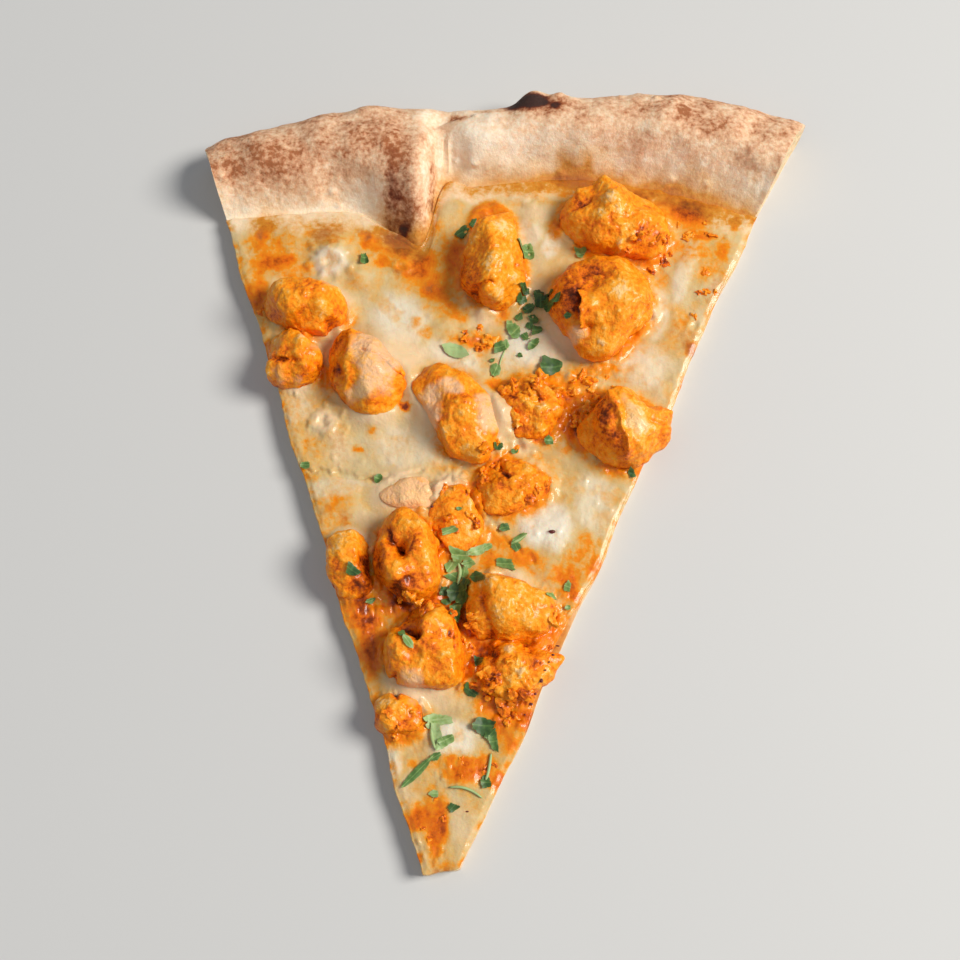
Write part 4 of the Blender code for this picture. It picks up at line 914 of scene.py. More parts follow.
        "outline": (9.5, 6.5, 5.5, 7, 10, 6.5, 5, 6.5),
        "marks": [(200, 50, 26, 0.12)],
        "spots": [
            (-27.8, -14.6, 1.7, 0.4, 0.06), (-20.5, -14.2, 9, -0.6, -0.3), (-22.6, -16.7, 1.7, 0.7, -0.1),
            (-17, -13.3, 1.4, 0.6), (-18.3, -10.9, 1.4, 0, 0.26),
        ],
        "film": [(-21, -14.5, 9, 1), (-27.4, -12.4, 3, 0.8), (-16, -14.5, 3, 0.7)],
        "drape": [(150, 120, 1.8, 4)],
    },
}
chunkShape = {
    "seat": 6.2,  # the solids are cut flat at this height
    "sunk": 1.3,  # and the meat reaches this far down into the cheese
    "centreRise": 0.22,
    "underDepth": 0.44,
    "squareness": 2.8,
    "facets": 8,
    "facetSlopes": (5.0, 75.0),
    "facetDepths": (0.83, 1.0),
    "facetSharpness": 22.0,
    "seed": 40,
    "neighbourRange": 45.0,
    "outlineStart": 3.5,
    "around": 168,
    "upwards": 84,
    "underRows": 6,
    "roomAtTop": 1.4,
    "gap": 0.2,
}
meat = {  # grain of the torn chicken: sizes in mm, and how far each stands out
    "lumpSize": 8.5,
    "lumpRise": 0.6,
    "crumbSize": 5.6,
    "crumbRise": 1.35,
    "cobbleSize": 3.6,
    "cobbleRise": 0.9,
    "cobblesFrom": 0.4,  # how crumbly a chunk is before it shows nodules
    "pitSize": 4.4,
    "pitDepth": 1.1,
    "strandSize": 1.3,
    "strandRise": 0.28,
    "strandDraw": 0.16,  # strands are drawn out to one over this
    "fine": ((0.34, 2.6, 4), (0.2, 1.5, 8)),  # rise, size, seed
}
coatingAndShade = {  # how deep the sauce colour is, from 0 to 1: sauce, painted light off the ridges, painted shade in the pits, and darker towards the bottom
    "everywhere": 0.41,
    "offRidges": 0.17,
    "inPits": 0.3,
    "clouds": (0.16, 7),
    "atFoot": 0.3,
    "footHeights": (10, 6),
}
chunkLines = [  # creases (and edges, where the depth is below 0): points, half width, depth, sauce tone (painted shade in the creases, a little painted light on the edges)
    (((-38.6, 27), (-33, 24.8), (-24.5, 19.5)), 0.4, 0.7, 0.4),
    (((-26.8, -27.4), (-25.3, -31.7), (-22.5, -34.8)), 0.9, 2, 0.34),
    (((-19.9, -55.6), (-15.8, -58)), 1, 2.2, 0.44),
    (((-6.2, -55.1), (-4.1, -62.1)), 0.7, 1, 0.22),
    (((-67, 23.9), (-63, 22.8), (-58.1, 22.2)), 0.8, 1.2, 0.32),
    (((24.2, 48.8), (24.8, 39.6)), 0.9, 1.5, 0.26),
    (((25.8, 47.4), (26.8, 37.7)), 0.6, -1.6, -0.06),
    (((23.1, 53.8), (30.6, 55.9), (35.5, 52.9)), 1.2, 0.9, 0.06),
    (((35.2, 15.8), (38.7, 8.2), (41.9, 0)), 0.9, -1.3, -0.04),
    (((-10.1, 48.5), (-0.9, 48.7)), 0.7, 1.5, 0.3),
    (((21.9, 77.3), (26.7, 80.7)), 0.8, 1.4, 0.32),
    (((1.4, -46.1), (3.2, -52.4), (5.2, -57.4)), 0.9, 0.8, 0.14),
    (((-22.2, -69.6), (-20.4, -74.9)), 0.7, 1.2, 0.34),
    (((2.6, -1.6), (4.6, -6.2), (6.8, -8.5)), 0.7, 1, 0.34),
    (((-3.8, 16.3), (-2.1, 7.6)), 0.6, -0.8, 0),
    (((-42.3, 33.7), (-41.9, 26.6), (-41.4, 13.3)), 1, -1, -0.06),
]


def chunkOutline(azimuth, reaches):
    # a smooth closed curve through the eight reaches, given in radians round the centre
    step = (azimuth - math.radians(chunkShape["outlineStart"])) / (np.pi / 4) % 8
    i = np.floor(step).astype(int)
    t = step - i
    r = np.asarray(reaches)
    before, here, after, beyond = r[(i - 1) % 8], r[i % 8], r[(i + 1) % 8], r[(i + 2) % 8]
    pull = (after - before) * t + (2 * before - 5 * here + 4 * after - beyond) * t**2
    return here + 0.5 * (pull + (3 * here - before - 3 * after + beyond) * t**3)


def pointing(azimuth, elevation):
    a, e = np.radians(azimuth), np.radians(elevation)
    return withHeight(np.cos(a) * np.cos(e), np.sin(a) * np.cos(e), np.sin(e))


def chunkRadius(directions, chunk, number):
    # a squarish dome over the outline, cut by random facets with soft edges, then its marks
    shape = chunkShape
    x, y, z = np.moveaxis(directions, -1, 0)
    power = shape["squareness"]
    plan = chunkOutline(np.arctan2(y, x), chunk["outline"])
    tall = chunk["height"] * np.where(z > 0, 1 - shape["centreRise"], shape["underDepth"])
    radius = ((np.hypot(x, y) / plan) ** power + (np.abs(z) / tall) ** power) ** (-1 / power)
    draw = np.random.default_rng(shape["seed"] + number)
    count = shape["facets"]
    turn = 360.0 * (np.arange(count) + draw.uniform(-0.3, 0.3, count)) / count
    faces = pointing(turn, draw.uniform(*shape["facetSlopes"], count))
    reach = np.hypot(faces[:, 0], faces[:, 1])
    reach = reach * chunkOutline(np.arctan2(faces[:, 1], faces[:, 0]), chunk["outline"])
    depth = np.hypot(reach, faces[:, 2] * (1 - shape["centreRise"]) * chunk["height"])
    depth = depth * draw.uniform(*shape["facetDepths"], count)
    sharpness = shape["facetSharpness"]
    cut = np.clip(directions @ faces.T, 0, None) / depth
    radius = (radius**-sharpness + (cut**sharpness).sum(axis=-1)) ** (-1 / sharpness)
    for azimuth, elevation, width, change in chunk["marks"]:
        radius = radius * (1 + change * nearDirection(directions, azimuth, elevation, width))
    return radius


def nearDirection(directions, azimuth, elevation, width):
    # a bell round a direction, its width in degrees
    off = np.arccos(np.clip(directions @ pointing(azimuth, elevation), -1, 1))
    return bump(np.degrees(off), 0.0, width)


def neighbourLimit(directions, chunk):
    # the upright planes that keep a chunk clear of its neighbours, where their outlines meet
    limit = np.full(directions.shape[:-1], 1000.0)
    for other in chunks.values():
        awayX, awayY = other["at"][0] - chunk["at"][0], other["at"][1] - chunk["at"][1]
        apart = math.hypot(awayX, awayY)
        if other is chunk or apart > chunkShape["neighbourRange"]:
            continue
        azimuth = math.atan2(awayY, awayX)
        own = float(chunkOutline(azimuth, chunk["outline"]))
        theirs = float(chunkOutline(azimuth + math.pi, other["outline"]))
        share = apart * own / (own + theirs) - 0.1
        towards = directions @ np.array([math.cos(azimuth), math.sin(azimuth), 0.0])
        limit = np.minimum(limit, share / np.maximum(towards, 1e-3))
    return limit


def beyondChunk(x, y, chunk):
    # the direction from a chunk's middle, and the distance past its outline, negative inside it
    centreX, centreY = chunk["at"]
    azimuth = np.arctan2(y - centreY, x - centreX)
    return azimuth, np.hypot(x - centreX, y - centreY) - chunkOutline(azimuth, chunk["outline"])


def underTop(points):
    # heights near the top of the CAD box are pressed together, so that none goes over it:
    # the height over a start is replaced by room times one minus e to minus that height / room
    room = chunkShape["roomAtTop"]
    start = cadHigh[2] / mm - room
    over = np.maximum(points[..., 2] - start, 0)
    pressed = points.copy()
    pressed[..., 2] += room * (1 - np.exp(-over / room)) - over
    return pressed


def meatGrain(points, number, crumb, fibre):
    # lumps, billows with nodules on them for crumbly meat, pits, and noise drawn out along one
    # direction for strands; returns how far the skin stands out and where it is pitted
    seed = 100 + 10 * number
    moved = points + 1.2 * drift(points, 5.0, seed + 7)
    lumps = roughGrain(points, meat["lumpSize"], seed + 2, 2)
    nodules = max(crumb - meat["cobblesFrom"], 0) * (cobbles(moved, meat["cobbleSize"], seed + 6) - 0.5)
    crumbs = billows(moved, meat["crumbSize"], seed, 3, 0.55) - 0.45 + meat["cobbleRise"] * nodules
    pits = np.clip(-grain(moved, meat["pitSize"], seed + 9) - 0.25, 0, 1)
    turn = math.radians(40 + 67 * number)
    along = points @ np.array([math.cos(turn), math.sin(turn), 0.25])
    across = points[:, 0] * math.sin(turn) - points[:, 1] * math.cos(turn)
    drawnOut = np.stack([along * meat["strandDraw"], across, points[:, 2]], axis=-1)
    strands = grain(drawnOut, meat["strandSize"], seed + 3)
    out = meat["lumpRise"] * lumps + meat["crumbRise"] * crumb * crumbs
    out = out + meat["strandRise"] * fibre * strands - meat["pitDepth"] * crumb * pits
    return out + layered(points, [(rise, size, seed + n) for rise, size, n in meat["fine"]]), pits


def chunkDetails(points, above, chunk, seed):
    # lumps, dents and creases, each a bell round its place: their height, their tone (sauce with
    # painted shade, and painted light where paler) and the film of cheese over them
    x, y = strayed(points[:, 0], points[:, 1], 4.0, 0.8, seed + 400)
    rise, toneAndShade, film = np.zeros((3, len(points)))
    for spotX, spotY, reach, lift, *sauceAndShade in chunk["spots"]:
        near = bump(np.hypot(x - spotX, y - spotY), 0.0, 1.15 * reach) * above
        rise, toneAndShade = rise + lift * near, toneAndShade + sum(sauceAndShade) * near
    for stops, width, depth, sauceAndShade in chunkLines:
        near = bump(lineDistance(x, y, stops), 0.0, width) * above
        rise, toneAndShade = rise - depth * near, toneAndShade + sauceAndShade * near
    for spotX, spotY, reach, amount in chunk.get("film", []):
        film = film + amount * bump(np.hypot(x - spotX, y - spotY), 0.0, 1.7 * reach) * above
    film = film + 0.26 * roughGrain(points, 5.0, seed + 6) - 0.5 * np.clip(toneAndShade, 0, 1)
    return rise, toneAndShade, ease(film, 0.15, 1.0)


def makeChunk(number, name, chunk):
    # a ball whose radius is the chunk's own, roughened by its details and grain, smoother under
    # film, and pressed flat where it is sunk
    around, height = chunkShape["around"], chunk["height"]
    low = np.linspace(-90, -28, chunkShape["underRows"], endpoint=False)[1:]
    elevation = np.concatenate([low, np.linspace(-28, 90, chunkShape["upwards"], endpoint=False)])
    azimuth = np.arange(around) * 360.0 / around
    poles = pointing(np.array([0.0, 0.0]), np.array([-90.0, 90.0]))
    sides = pointing(azimuth[None, :], elevation[:, None]).reshape(-1, 3)
    directions = np.concatenate([sides, poles])
    limit = neighbourLimit(directions, chunk)
    radius = np.minimum(chunkRadius(directions, chunk, number), limit - chunkShape["gap"])
    middle = np.array([*chunk["at"], chunkShape["seat"] + chunkShape["centreRise"] * height])
    points = middle + directions * radius[:, None]
    seed = 100 + 10 * number
    above = ease(directions[:, 2], -0.3, 0.1)
    rise, toneAndShade, film = chunkDetails(points, above, chunk, seed)
    crumb, fibre = chunk["crumb"], chunk["fibre"]
    texture, pits = meatGrain(points, number, crumb, fibre)
    relief = rise + texture * (1 - 0.6 * film) + 0.35 * film - 0.1
    radius = np.minimum(np.maximum(radius + relief * min(1.0, height / 8), 1.0), limit)
    bottom = chunkShape["seat"] - chunkShape["sunk"]
    under = np.maximum(-directions[:, 2], 1e-6)
    radius = np.minimum(radius, np.where(directions[:, 2] < 0, (middle[2] - bottom) / under, 1e3))
    points = underTop(middle + directions * radius[:, None])
    # the sauce colour: sauce, with painted light off the ridges, painted shade in pits, and darker towards
    # the bottom
    amount, size = coatingAndShade["clouds"]
    sauceDepthAndShade = coatingAndShade["everywhere"] - coatingAndShade["offRidges"] * texture + coatingAndShade["inPits"] * crumb * pits
    sauceDepthAndShade = sauceDepthAndShade + amount * grain(points, size, seed + 5)
    foot = ease(points[:, 2], *coatingAndShade["footHeights"]) * (1 - 0.3 * fibre)
    sauceDepthAndShade = sauceDepthAndShade + coatingAndShade["atFoot"] * foot + toneAndShade
    rows = len(elevation)
    faces = gridFaces(rows, around, wrap=True)
    ring = np.arange(around)
    first, last = ring, (rows - 1) * around + ring
    faces += np.stack([np.roll(first, -1), first, np.full(around, rows * around)], axis=-1).tolist()
    faces += np.stack([last, np.roll(last, -1), np.full(around, rows * around + 1)], axis=-1).tolist()
    piece = makePiece(
        name.replace("chicken_", "saucedChicken"), points, faces, chickenFinish,
        {"sauceAndShade": np.clip(sauceDepthAndShade, 0, 1), "film": film}, creaseAngle=80,
    )
    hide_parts(name)
    return piece


chickenPieces = [makeChunk(number, *entry) for number, entry in enumerate(chunks.items())]
print("chicken made:", sum(len(p.data.polygons) for p in chickenPieces), "faces")


# Dough: base and crust rim

doughShape = {
    "rimAngles": (-21.4, -12.0, -8.5, -4.5, -0.5, 4.5, 9.0, 13.0, 19.0, 21.4),
    "rimRadii": (246.0, 249.0, 250.0, 248.5, 249.0, 254.5, 259.0, 263.5, 267.0, 267.0),
    "footAngles": (-21.4, -15.0, -10.0, -7.2, -4.8, -3.8, -1.0, 4.0, 9.0, 14.0, 21.4),
    "footRadii": (221.5, 217.5, 213.5, 204.5, 205.0, 219.5, 222.5, 226.5, 230.0, 231.0, 233.0),
    "crestAngles": (-21.4, -13.0, -7.0, -5.0, -3.8, -1.5, 3.0, 8.0, 14.0, 21.4),
    "crestHeights": (16.5, 17.5, 18.5, 18.0, 14.0, 15.0, 16.5, 17.5, 18.5, 17.5),
    "crestPlace": 0.52,
    "waistHeight": 0.4,
    "underTuck": 0.16,
    "fold": (-3.95, 0.75, 2.6),  # angle, width and depth of the fold where the left lobe ends
    "bulge": (-6.0, 2.4, 0.8),  # angle, width and steepness of the lobe's end
    "crease": (-12.0, 0.0, 1.42, 0.13, 1.5),  # along the back: from, to, place, width, depth
    "blisters": ((2.8, 5.0, 1.6, 0.32, 3.2), (4.8, 2.5, 1.6, 0.2, 1.3)),
    "lumps": (0.75, 34.0),  # height and length
    "arcRadius": 250.0,  # angles are turned into distances along the rim at this radius
    "acrossLength": 20.0,
    "wrinkles": (-3.6, 0.8, 0.62, 0.55),  # beside the fold: angle, width, spacing, height
    "stretch": (1.7, 0.12, 9.0),  # size, slant, slowness
    "stretched": (0.13, 0.10),  # rise and how much paler
    "grain": ((0.34, 6.5, 321), (0.17, 2.8, 322), (0.10, 1.3, 323)),  # rise, size, seed
    "bubbles": (0.8, 6.0),  # height and spacing
    "holes": (3.4, 1.5),  # spacing of the large and the small ones in the crumb
    "holeDepth": (0.16, 0.075, 14.0),  # at the least, more per mm of height, up to this height
    "crumbRelief": (0.12, 1.1),  # depth and size
    "rindHeights": (1.3, 0.2),
    "columns": 270,
    "baseRows": 90,
    "innerRows": 50,
    "outerRows": 44,
    "underRows": 14,
    "cutSteps": 22,
}


def footRadius(u):
    return through(degreesAt(u), doughShape["footAngles"], doughShape["footRadii"])


def crustRelief(u, along):
    # lumps, the fold, the crease along the back and the burst blisters, out of the skin
    degrees = degreesAt(u)
    arc = np.radians(degrees) * doughShape["arcRadius"]
    fade = np.clip(along * 2.2, 0, 1) * np.clip((2.6 - along) * 1.6, 0, 1)
    height, length = doughShape["lumps"]
    lift = height * waves(arc, along * doughShape["acrossLength"], length, 3)
    foldAngle, foldWidth, foldDepth = doughShape["fold"]
    lift = lift - foldDepth * bump(degrees, foldAngle, foldWidth) * np.clip(1.9 - 1.2 * along, 0, 1)
    first, last, place, width, depth = doughShape["crease"]
    inside = np.clip((degrees - first) / 3, 0, 1) * np.clip((last - degrees) / 3, 0, 1)
    lift = lift - depth * inside * bump(along, place, width)
    for angle, width, across, spreadAcross, height in doughShape["blisters"]:
        roundIt = bump(arc, np.radians(angle) * doughShape["arcRadius"], width)
        lift = lift + height * roundIt * bump(along, across, spreadAcross)
    return fade * lift


def crustSection(u, along):
    # radius and height of the skin: along is 0 at the foot, 1 at the crest, 2 at the outermost
    # line and 3 where the underside meets the floor; quarter turns join them
    degrees = degreesAt(u)
    foot = footRadius(u)
    rim = through(degrees, doughShape["rimAngles"], doughShape["rimRadii"])
    crest = through(degrees, doughShape["crestAngles"], doughShape["crestHeights"])
    width = rim - foot
    waist = doughShape["waistHeight"] * crest
    thick = sliceShape["doughThickness"]
    climb = np.clip(along, 0, 1)
    fall = np.clip(along - 1, 0, 1) * np.pi / 2
    tuck = np.clip(along - 2, 0, 1) * np.pi / 2
    angle, spreadOf, steepness = doughShape["bulge"]
    bulging = bump(degrees, angle, spreadOf) * steepness
    rise = (1 - np.cos(np.pi * climb)) / 2 * (1 - bulging)
    rise = rise + np.sin(np.pi / 2 * climb) ** 0.8 * bulging
    place = doughShape["crestPlace"]
    outward = place * climb + (1 - place) * np.sin(fall)
    radius = foot + width * outward - doughShape["underTuck"] * width * (1 - np.cos(tuck))
    z = np.where(
        along <= 1,
        thick + (crest - thick) * rise,
        waist + (crest - waist) * np.cos(fall) - waist * np.sin(tuck),
    )
    lift = crustRelief(u, along)
    middleRadius = foot + 0.5 * width
    middleZ = 0.3 * crest
    reach = np.hypot(radius - middleRadius, z - middleZ)
    radius = radius + lift * (radius - middleRadius) / reach
    return radius, np.maximum(z + lift * (z - middleZ) / reach, 0.0)


crustColours = {
    # how toasted the rim is: by angle on its outer half, and by place across it
    "angles": (-21.4, -18, -14, -9, -6, -3.5, -1, 2, 6, 12, 18, 21.4),
    "outer": (0.68, 0.68, 0.66, 0.58, 0.52, 0.32, 0.26, 0.36, 0.48, 0.62, 0.66, 0.6),
    "across": (0, 0.4, 0.7, 1, 1.5, 2, 2.5, 3),
    "share": (0.16, 0.32, 0.7, 1.03, 1.04, 1.06, 0.75, 0.5),
    # browned and scorched places: x, y, half width, half height, turn, amount
    "brown": (
        (-31, 84, 7.5, 17, 8, 0.2), (-64, 85, 24, 7, 6, 0.26), (-42, 96, 8, 8, 0, 0.16),
        (-20.6, 81, 2, 12, 5, 0.66), (-18, 84, 1.4, 9, 5, 0.3), (-28, 84, 5, 14, 6, 0.12),
        (-15, 108.2, 2.6, 1.4, 0, 0.5), (-5.2, 111.2, 7, 0.9, 4, 0.3), (55.5, 112, 2.4, 1.8, 0, 0.34),
        (42, 99.5, 1.6, 1.2, 0, 0.24), (-29.5, 74, 8.5, 8, 0, 0.6), (11, 113, 11, 4, 0, 0.3),
        (-38, 84, 2, 9, 10, 0.12), (24, 105, 6, 4, 0, 0.12), (70, 104, 9, 5, 0, 0.1),
    ),
    "char": (
        (-34.6, 91, 2.4, 8, 6, 0.44), (-32.8, 80, 3.4, 8, 8, 0.66), (-30.4, 72.6, 6, 5, 0, 0.62),
        (-29.4, 71, 3, 2.8, 0, 0.84), (-25, 73, 3, 3.4, 0, 0.52), (-20.4, 77, 1.4, 7, 4, 0.44),
        (-34, 70, 2.2, 1.6, 0, 0.5), (-33.4, 97, 1.4, 2.4, 8, 0.32), (-22, 79.6, 1.6, 2.4, 0, 0.56),
        (-31, 80, 5, 13, 8, 0.34), (7.1, 113.5, 8, 3.4, 2, 1.2), (15.2, 112.4, 2.2, 2, 0, 0.9),
        (12, 110, 4.4, 1.6, 0, 0.36), (51.7, 118.2, 1.5, 1.1, 0, 0.56), (-14.8, 108.4, 1.6, 0.9, 0, 0.3),
    ),
}


def crustMarks(u, along, points):
    # toast and scorch of the skin: the angle's share times the share across, and ragged spots
    degrees = degreesAt(u) + 0 * along
    toast = through(degrees, crustColours["angles"], crustColours["outer"])
    toast = toast * through(along + 0 * u, crustColours["across"], crustColours["share"])
    toast = toast + 0.16 * roughGrain(points, 11.0, 301, 2) * ease(along + 0 * u, 0.1, 0.8)
    x = points[..., 0] + 0.9 * roughGrain(points, 3.0, 310, 2)
    y = points[..., 1] + 1.1 * roughGrain(points, 3.5, 311, 2)
    upper = ease(along + 0 * u, 2.2, 1.9) * (points[..., 2] > sliceShape["doughThickness"] + 0.8)
    toast = toast + spread(x, y, crustColours["brown"], 0.7) * upper
    char = spread(x, y, crustColours["char"], 0.65) * upper
    return np.clip(toast + 0.3 * char, 0, 1), char


def insideBox(points):
    # keeps points 0.02 mm inside the CAD box
    return np.clip(points, np.array(cadLow) / mm + 0.02, np.array(cadHigh) / mm - 0.02)


def patchOf(grid, cutOpen, toast=0.0, char=0.0, sauceAndShade=0.0, holeShade=0.0):
    # a grid of points with the marks its colours come from
    flat = {"shape": grid.shape[:2], "points": grid.reshape(-1, 3)}
    marks = {"cut": cutOpen, "toast": toast, "char": char, "sauceAndShade": sauceAndShade, "holeShade": holeShade}
    for key, value in marks.items():
        flat[key] = np.clip(np.broadcast_to(value, grid.shape[:2]), 0, 1.2).ravel()
    return flat


def foldWrinkles(u, along):
    # narrow ridges that run up the fold beside the lobe's rounded end: a cosine under a bell
    angle, width, spacing, height = doughShape["wrinkles"]
    degrees = degreesAt(u)
    ridges = height * np.cos(2 * np.pi * (degrees - angle + 0.1) / spacing)
    return ridges * bump(degrees, angle, width) * ease(along, 0.05, 0.3) * ease(along, 1.2, 0.7)


def stretchLines(u, along):
    # faint lines low on the rim, where the skin was drawn as it rose: noise on slanted places
    size, slant, slowness = doughShape["stretch"]
    arc = cutAngle * u * doughShape["arcRadius"]
    places = withHeight(arc, slant * arc + slowness * along, 0.0)
    return grain(places, size, 326) * bump(along, 0.5, 0.34)


def cutFace(upper, lower, inward):
    # straight lines from the skin's edge down to the floor's edge, pressed in where the crumb
    # has holes; inward is 1 on the left cut, -1 on the right one and 0 at the tip
    share = np.linspace(0, 1, doughShape["cutSteps"] + 1)[None, :, None]
    face = upper[:, None] + (lower - upper)[:, None] * share
    towards = np.array([0.0, 1.0, 0.0])
    if inward:
        towards = np.array([inward * math.cos(cutAngle), math.sin(cutAngle), 0.0])
    tall = np.linalg.norm(upper - lower, axis=-1)[:, None]
    place = np.arange(len(upper))[:, None]
    hold = ease(np.minimum(share, 1 - share)[..., 0], 0.0, 0.16)
    hold = hold * ease(place, 0, 3) * ease(place, len(upper) - 1, len(upper) - 4)
    squashed = face * np.array([0.8, 0.8, 1.25])
    bigSize, smallSize = doughShape["holes"]
    big, small = cells(squashed, bigSize, 341)[0], cells(squashed, smallSize, 342)[0]
    holes = ease(big, 0.52, 0.18) * ease(tall, 4.0, 9.0) + 0.4 * ease(small, 0.5, 0.15)
    least, perHeight, highest = doughShape["holeDepth"]
    rough, roughSize = doughShape["crumbRelief"]
    depth = (least + perHeight * np.minimum(tall, highest)) * holes
    depth = depth + rough * (1 + grain(face, roughSize, 343))
    face = face + towards * (depth * hold)[..., None]
    # the lower rind is baked brown, and so is the outer skin where it shows at the cut's end
    down = share[..., 0] * tall
    rindFrom, rindTo = doughShape["rindHeights"]
    rind = ease(down, tall - rindFrom, tall - rindTo)
    browned = 0.10 + 0.45 * rind + 0.35 * ease(down, 1.2, 0.1) * ease(tall, 5.0, 9.0)
    # the holes get a mark that paints shade into them
    return patchOf(face, 1.0, toast=browned + 0 * depth, holeShade=holes * hold)


def makeDough():
    # one closed skin from the tip's upper edge over the base, round the rim and down to the
    # floor, with open crumb at both cuts and the tip, and a flat floor
    u = columnPlaces(doughShape["columns"])[None, :]
    foot = footRadius(u)
    share = np.linspace(0, 1, doughShape["baseRows"] + 1)[:, None]
    base = tipRadius(u) + (foot - tipRadius(u)) * share
    inner = np.arange(1, doughShape["innerRows"] + 1) / doughShape["innerRows"]
    outer = 1 + np.arange(1, doughShape["outerRows"] + 1) / doughShape["outerRows"]
    under = 2 + np.arange(1, doughShape["underRows"] + 1) / doughShape["underRows"]
    ring = np.concatenate([inner, outer, under])[:, None]
    ringRadius, ringZ = crustSection(u, ring)
    skin = np.concatenate([
        slicePoint(u, base, sliceShape["doughThickness"]),
        slicePoint(u, ringRadius, ringZ),
    ])
    along = np.concatenate([0 * share, ring])
    height, spacing = doughShape["bubbles"]
    bubbles = ease(cells(skin, spacing, 324)[0], 0.34, 0.05) * ease(grain(skin, 14.0, 325), 0.1, 0.4)
    relief = layered(skin, doughShape["grain"]) + height * bubbles
    rise, paler = doughShape["stretched"]
    stretched = stretchLines(u, along)
    relief = relief + foldWrinkles(u, along) + rise * stretched
    loose = ease(along, 0.0, 0.25) * ease(along, 2.9, 2.3)
    skin = skin + gridNormals(skin) * (relief * loose)[..., None]
    skin = insideBox(skin)
    skin[-1, :, 2] = 0.0
    rows, across = skin.shape[:2]
    toast, char = crustMarks(u, along, skin)
    toast = np.clip(toast - paler * stretched, 0, 1)
    sauceX, sauceY = strayed(skin[..., 0], skin[..., 1], 5.0, 1.2, 331)
    pools = np.maximum(spread(sauceX, sauceY, saucePoolsAndGapShade), spread(sauceX, sauceY, oilPools, 0.8))
    pools = pools * ease(along, 0.62, 0.12)
    upTheRim = np.concatenate([base - foot, ringRadius - foot])
    # the golden stain along the foot, partly painted shade in the crease
    footOilAndShade = stainAndShadeAtFoot(u, upTheRim, skin * np.array([1.0, 1.0, 0.0])) * ease(along, 0.9, 0.6)
    patches = [patchOf(skin, 0, toast=toast, char=char, sauceAndShade=np.maximum(pools, footOilAndShade))]
    baseCount = doughShape["baseRows"] + 1
    floorLines = []
    for column, inward in ((0, 1.0), (across - 1, -1.0)):
        edge = skin[:, column]
        lower = edge.copy()
        ringShare = np.arange(1, rows - baseCount + 1)[:, None] / (rows - baseCount)
        lower[baseCount:] = edge[baseCount - 1] + (edge[-1] - edge[baseCount - 1]) * ringShare
        lower[:, 2] = 0.0
        floorLines.append(lower)
        patches.append(cutFace(edge, lower, inward))
    tipLower = skin[0] * np.array([1.0, 1.0, 0.0])
    patches.append(cutFace(skin[0], tipLower, 0.0))
    faces = []
    start = 0
    for patch in patches:
        faces += gridFaces(*patch["shape"], start)
        start += len(patch["points"])
    left, right = floorLines
    floor = np.concatenate([tipLower, left[1:], right[1:], skin[-1]])
    patches.append(patchOf(floor[None], 0, toast=0.35))
    tipAt = start + np.arange(across)
    leftAt = start + across + np.arange(rows - 1)
    rightAt = leftAt + rows - 1
    contactAt = start + across + 2 * (rows - 1) + np.arange(across)
    faces += closeUnder(leftAt, rightAt, tipAt, contactAt)
    marks = [key for key in patches[0] if key != "shape"]
    together = {key: np.concatenate([patch[key] for patch in patches]) for key in marks}
    points = together.pop("points")
    piece = makePiece("bakedDough", points, faces, doughFinish, together, creaseAngle=42, weld=True)
    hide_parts("dough")
    return piece


dough = makeDough()
print("dough made:", len(dough.data.polygons), "faces")


# Cheese: the melted layer, with sauce run over it, and painted shade in the gaps between chunks

cheeseShape = {
    "thickness": 2.3,
    "waves": 0.3,
    "waveLength": 30.0,
    "grain": ((0.26, 7.0, 401), (0.20, 3.2, 402), (0.09, 1.7, 409)),  # rise, size, seed
    "rubble": (0.9, 3.2, 3.4),  # height, and the sizes of its lumps and nodules
    "milkRise": 0.3,
    "pocks": (0.35, 3.6),  # height and spacing
    "meniscus": (1.9, 1.7),  # how far it climbs a chunk, and from how far away
    "edgeDrop": 0.5,
    "edgeWidth": 1.8,
    "inset": 0.25,
    "insetFade": 12.0,
    "climb": 0.09,  # how far up the rim the cheese runs, as a share of the way to the crest
    "bareEdge": (80.0, 15.0, 2.0),
    "seat": 5.9,
    "mounds": (
        (-51.0, 63.7, 7.0, 2.2), (14.0, -78.8, 5.5, 1.9), (-42.0, 56.7, 6.0, 1.2), (-65.0, 68.7, 6.0, 1.0),
        (56.0, 64.7, 8.0, 0.9), (63.0, 38.7, 7.0, 0.8), (44.0, 30.7, 9.0, 0.8), (21.0, -25.3, 8.5, 1.1),
        (-46.0, 3.7, 6.0, 1.2), (-41.0, -21.3, 8.0, 0.9), (-10.0, -84.3, 6.0, 0.9), (-1.0, -96.3, 5.0, 0.8),
        (-16.0, 44.7, 8.0, 0.8), (13.0, 72.7, 6.0, 0.8),
    ),
    # burst bubbles: x, y, radius of the ring, its height
    "bubbles": (
        (-48.5, 6.7, 3.0, 0.9), (-51.5, 59.4, 3.4, 0.9), (-35.6, 14.5, 1.6, 0.5), (-29.5, 59.0, 1.9, 0.6),
        (15.5, 7.0, 2.0, 0.6), (-6.4, 28.6, 1.4, 0.4), (60.5, 45.0, 1.6, 0.4), (9.5, 84.5, 2.0, 0.5),
    ),
    # creases: points along a line, depth
    "creases": (
        (((-58.0, -8.0), (-42.6, -9.4), (-30.6, -10.4), (-18.0, -6.8)), 0.8),
        (((-0.7, -16.3), (3.0, -20.0), (7.6, -26.6), (16.0, -32.4)), 0.5),
        (((28.0, 88.0), (34.0, 91.5)), 0.6),
    ),
    "meanFoot": 218.0,
    "columns": 216,
    "rows": 380,
    "climbRows": 14,
    "sideRows": 5,
    "bottom": 3.75,
}


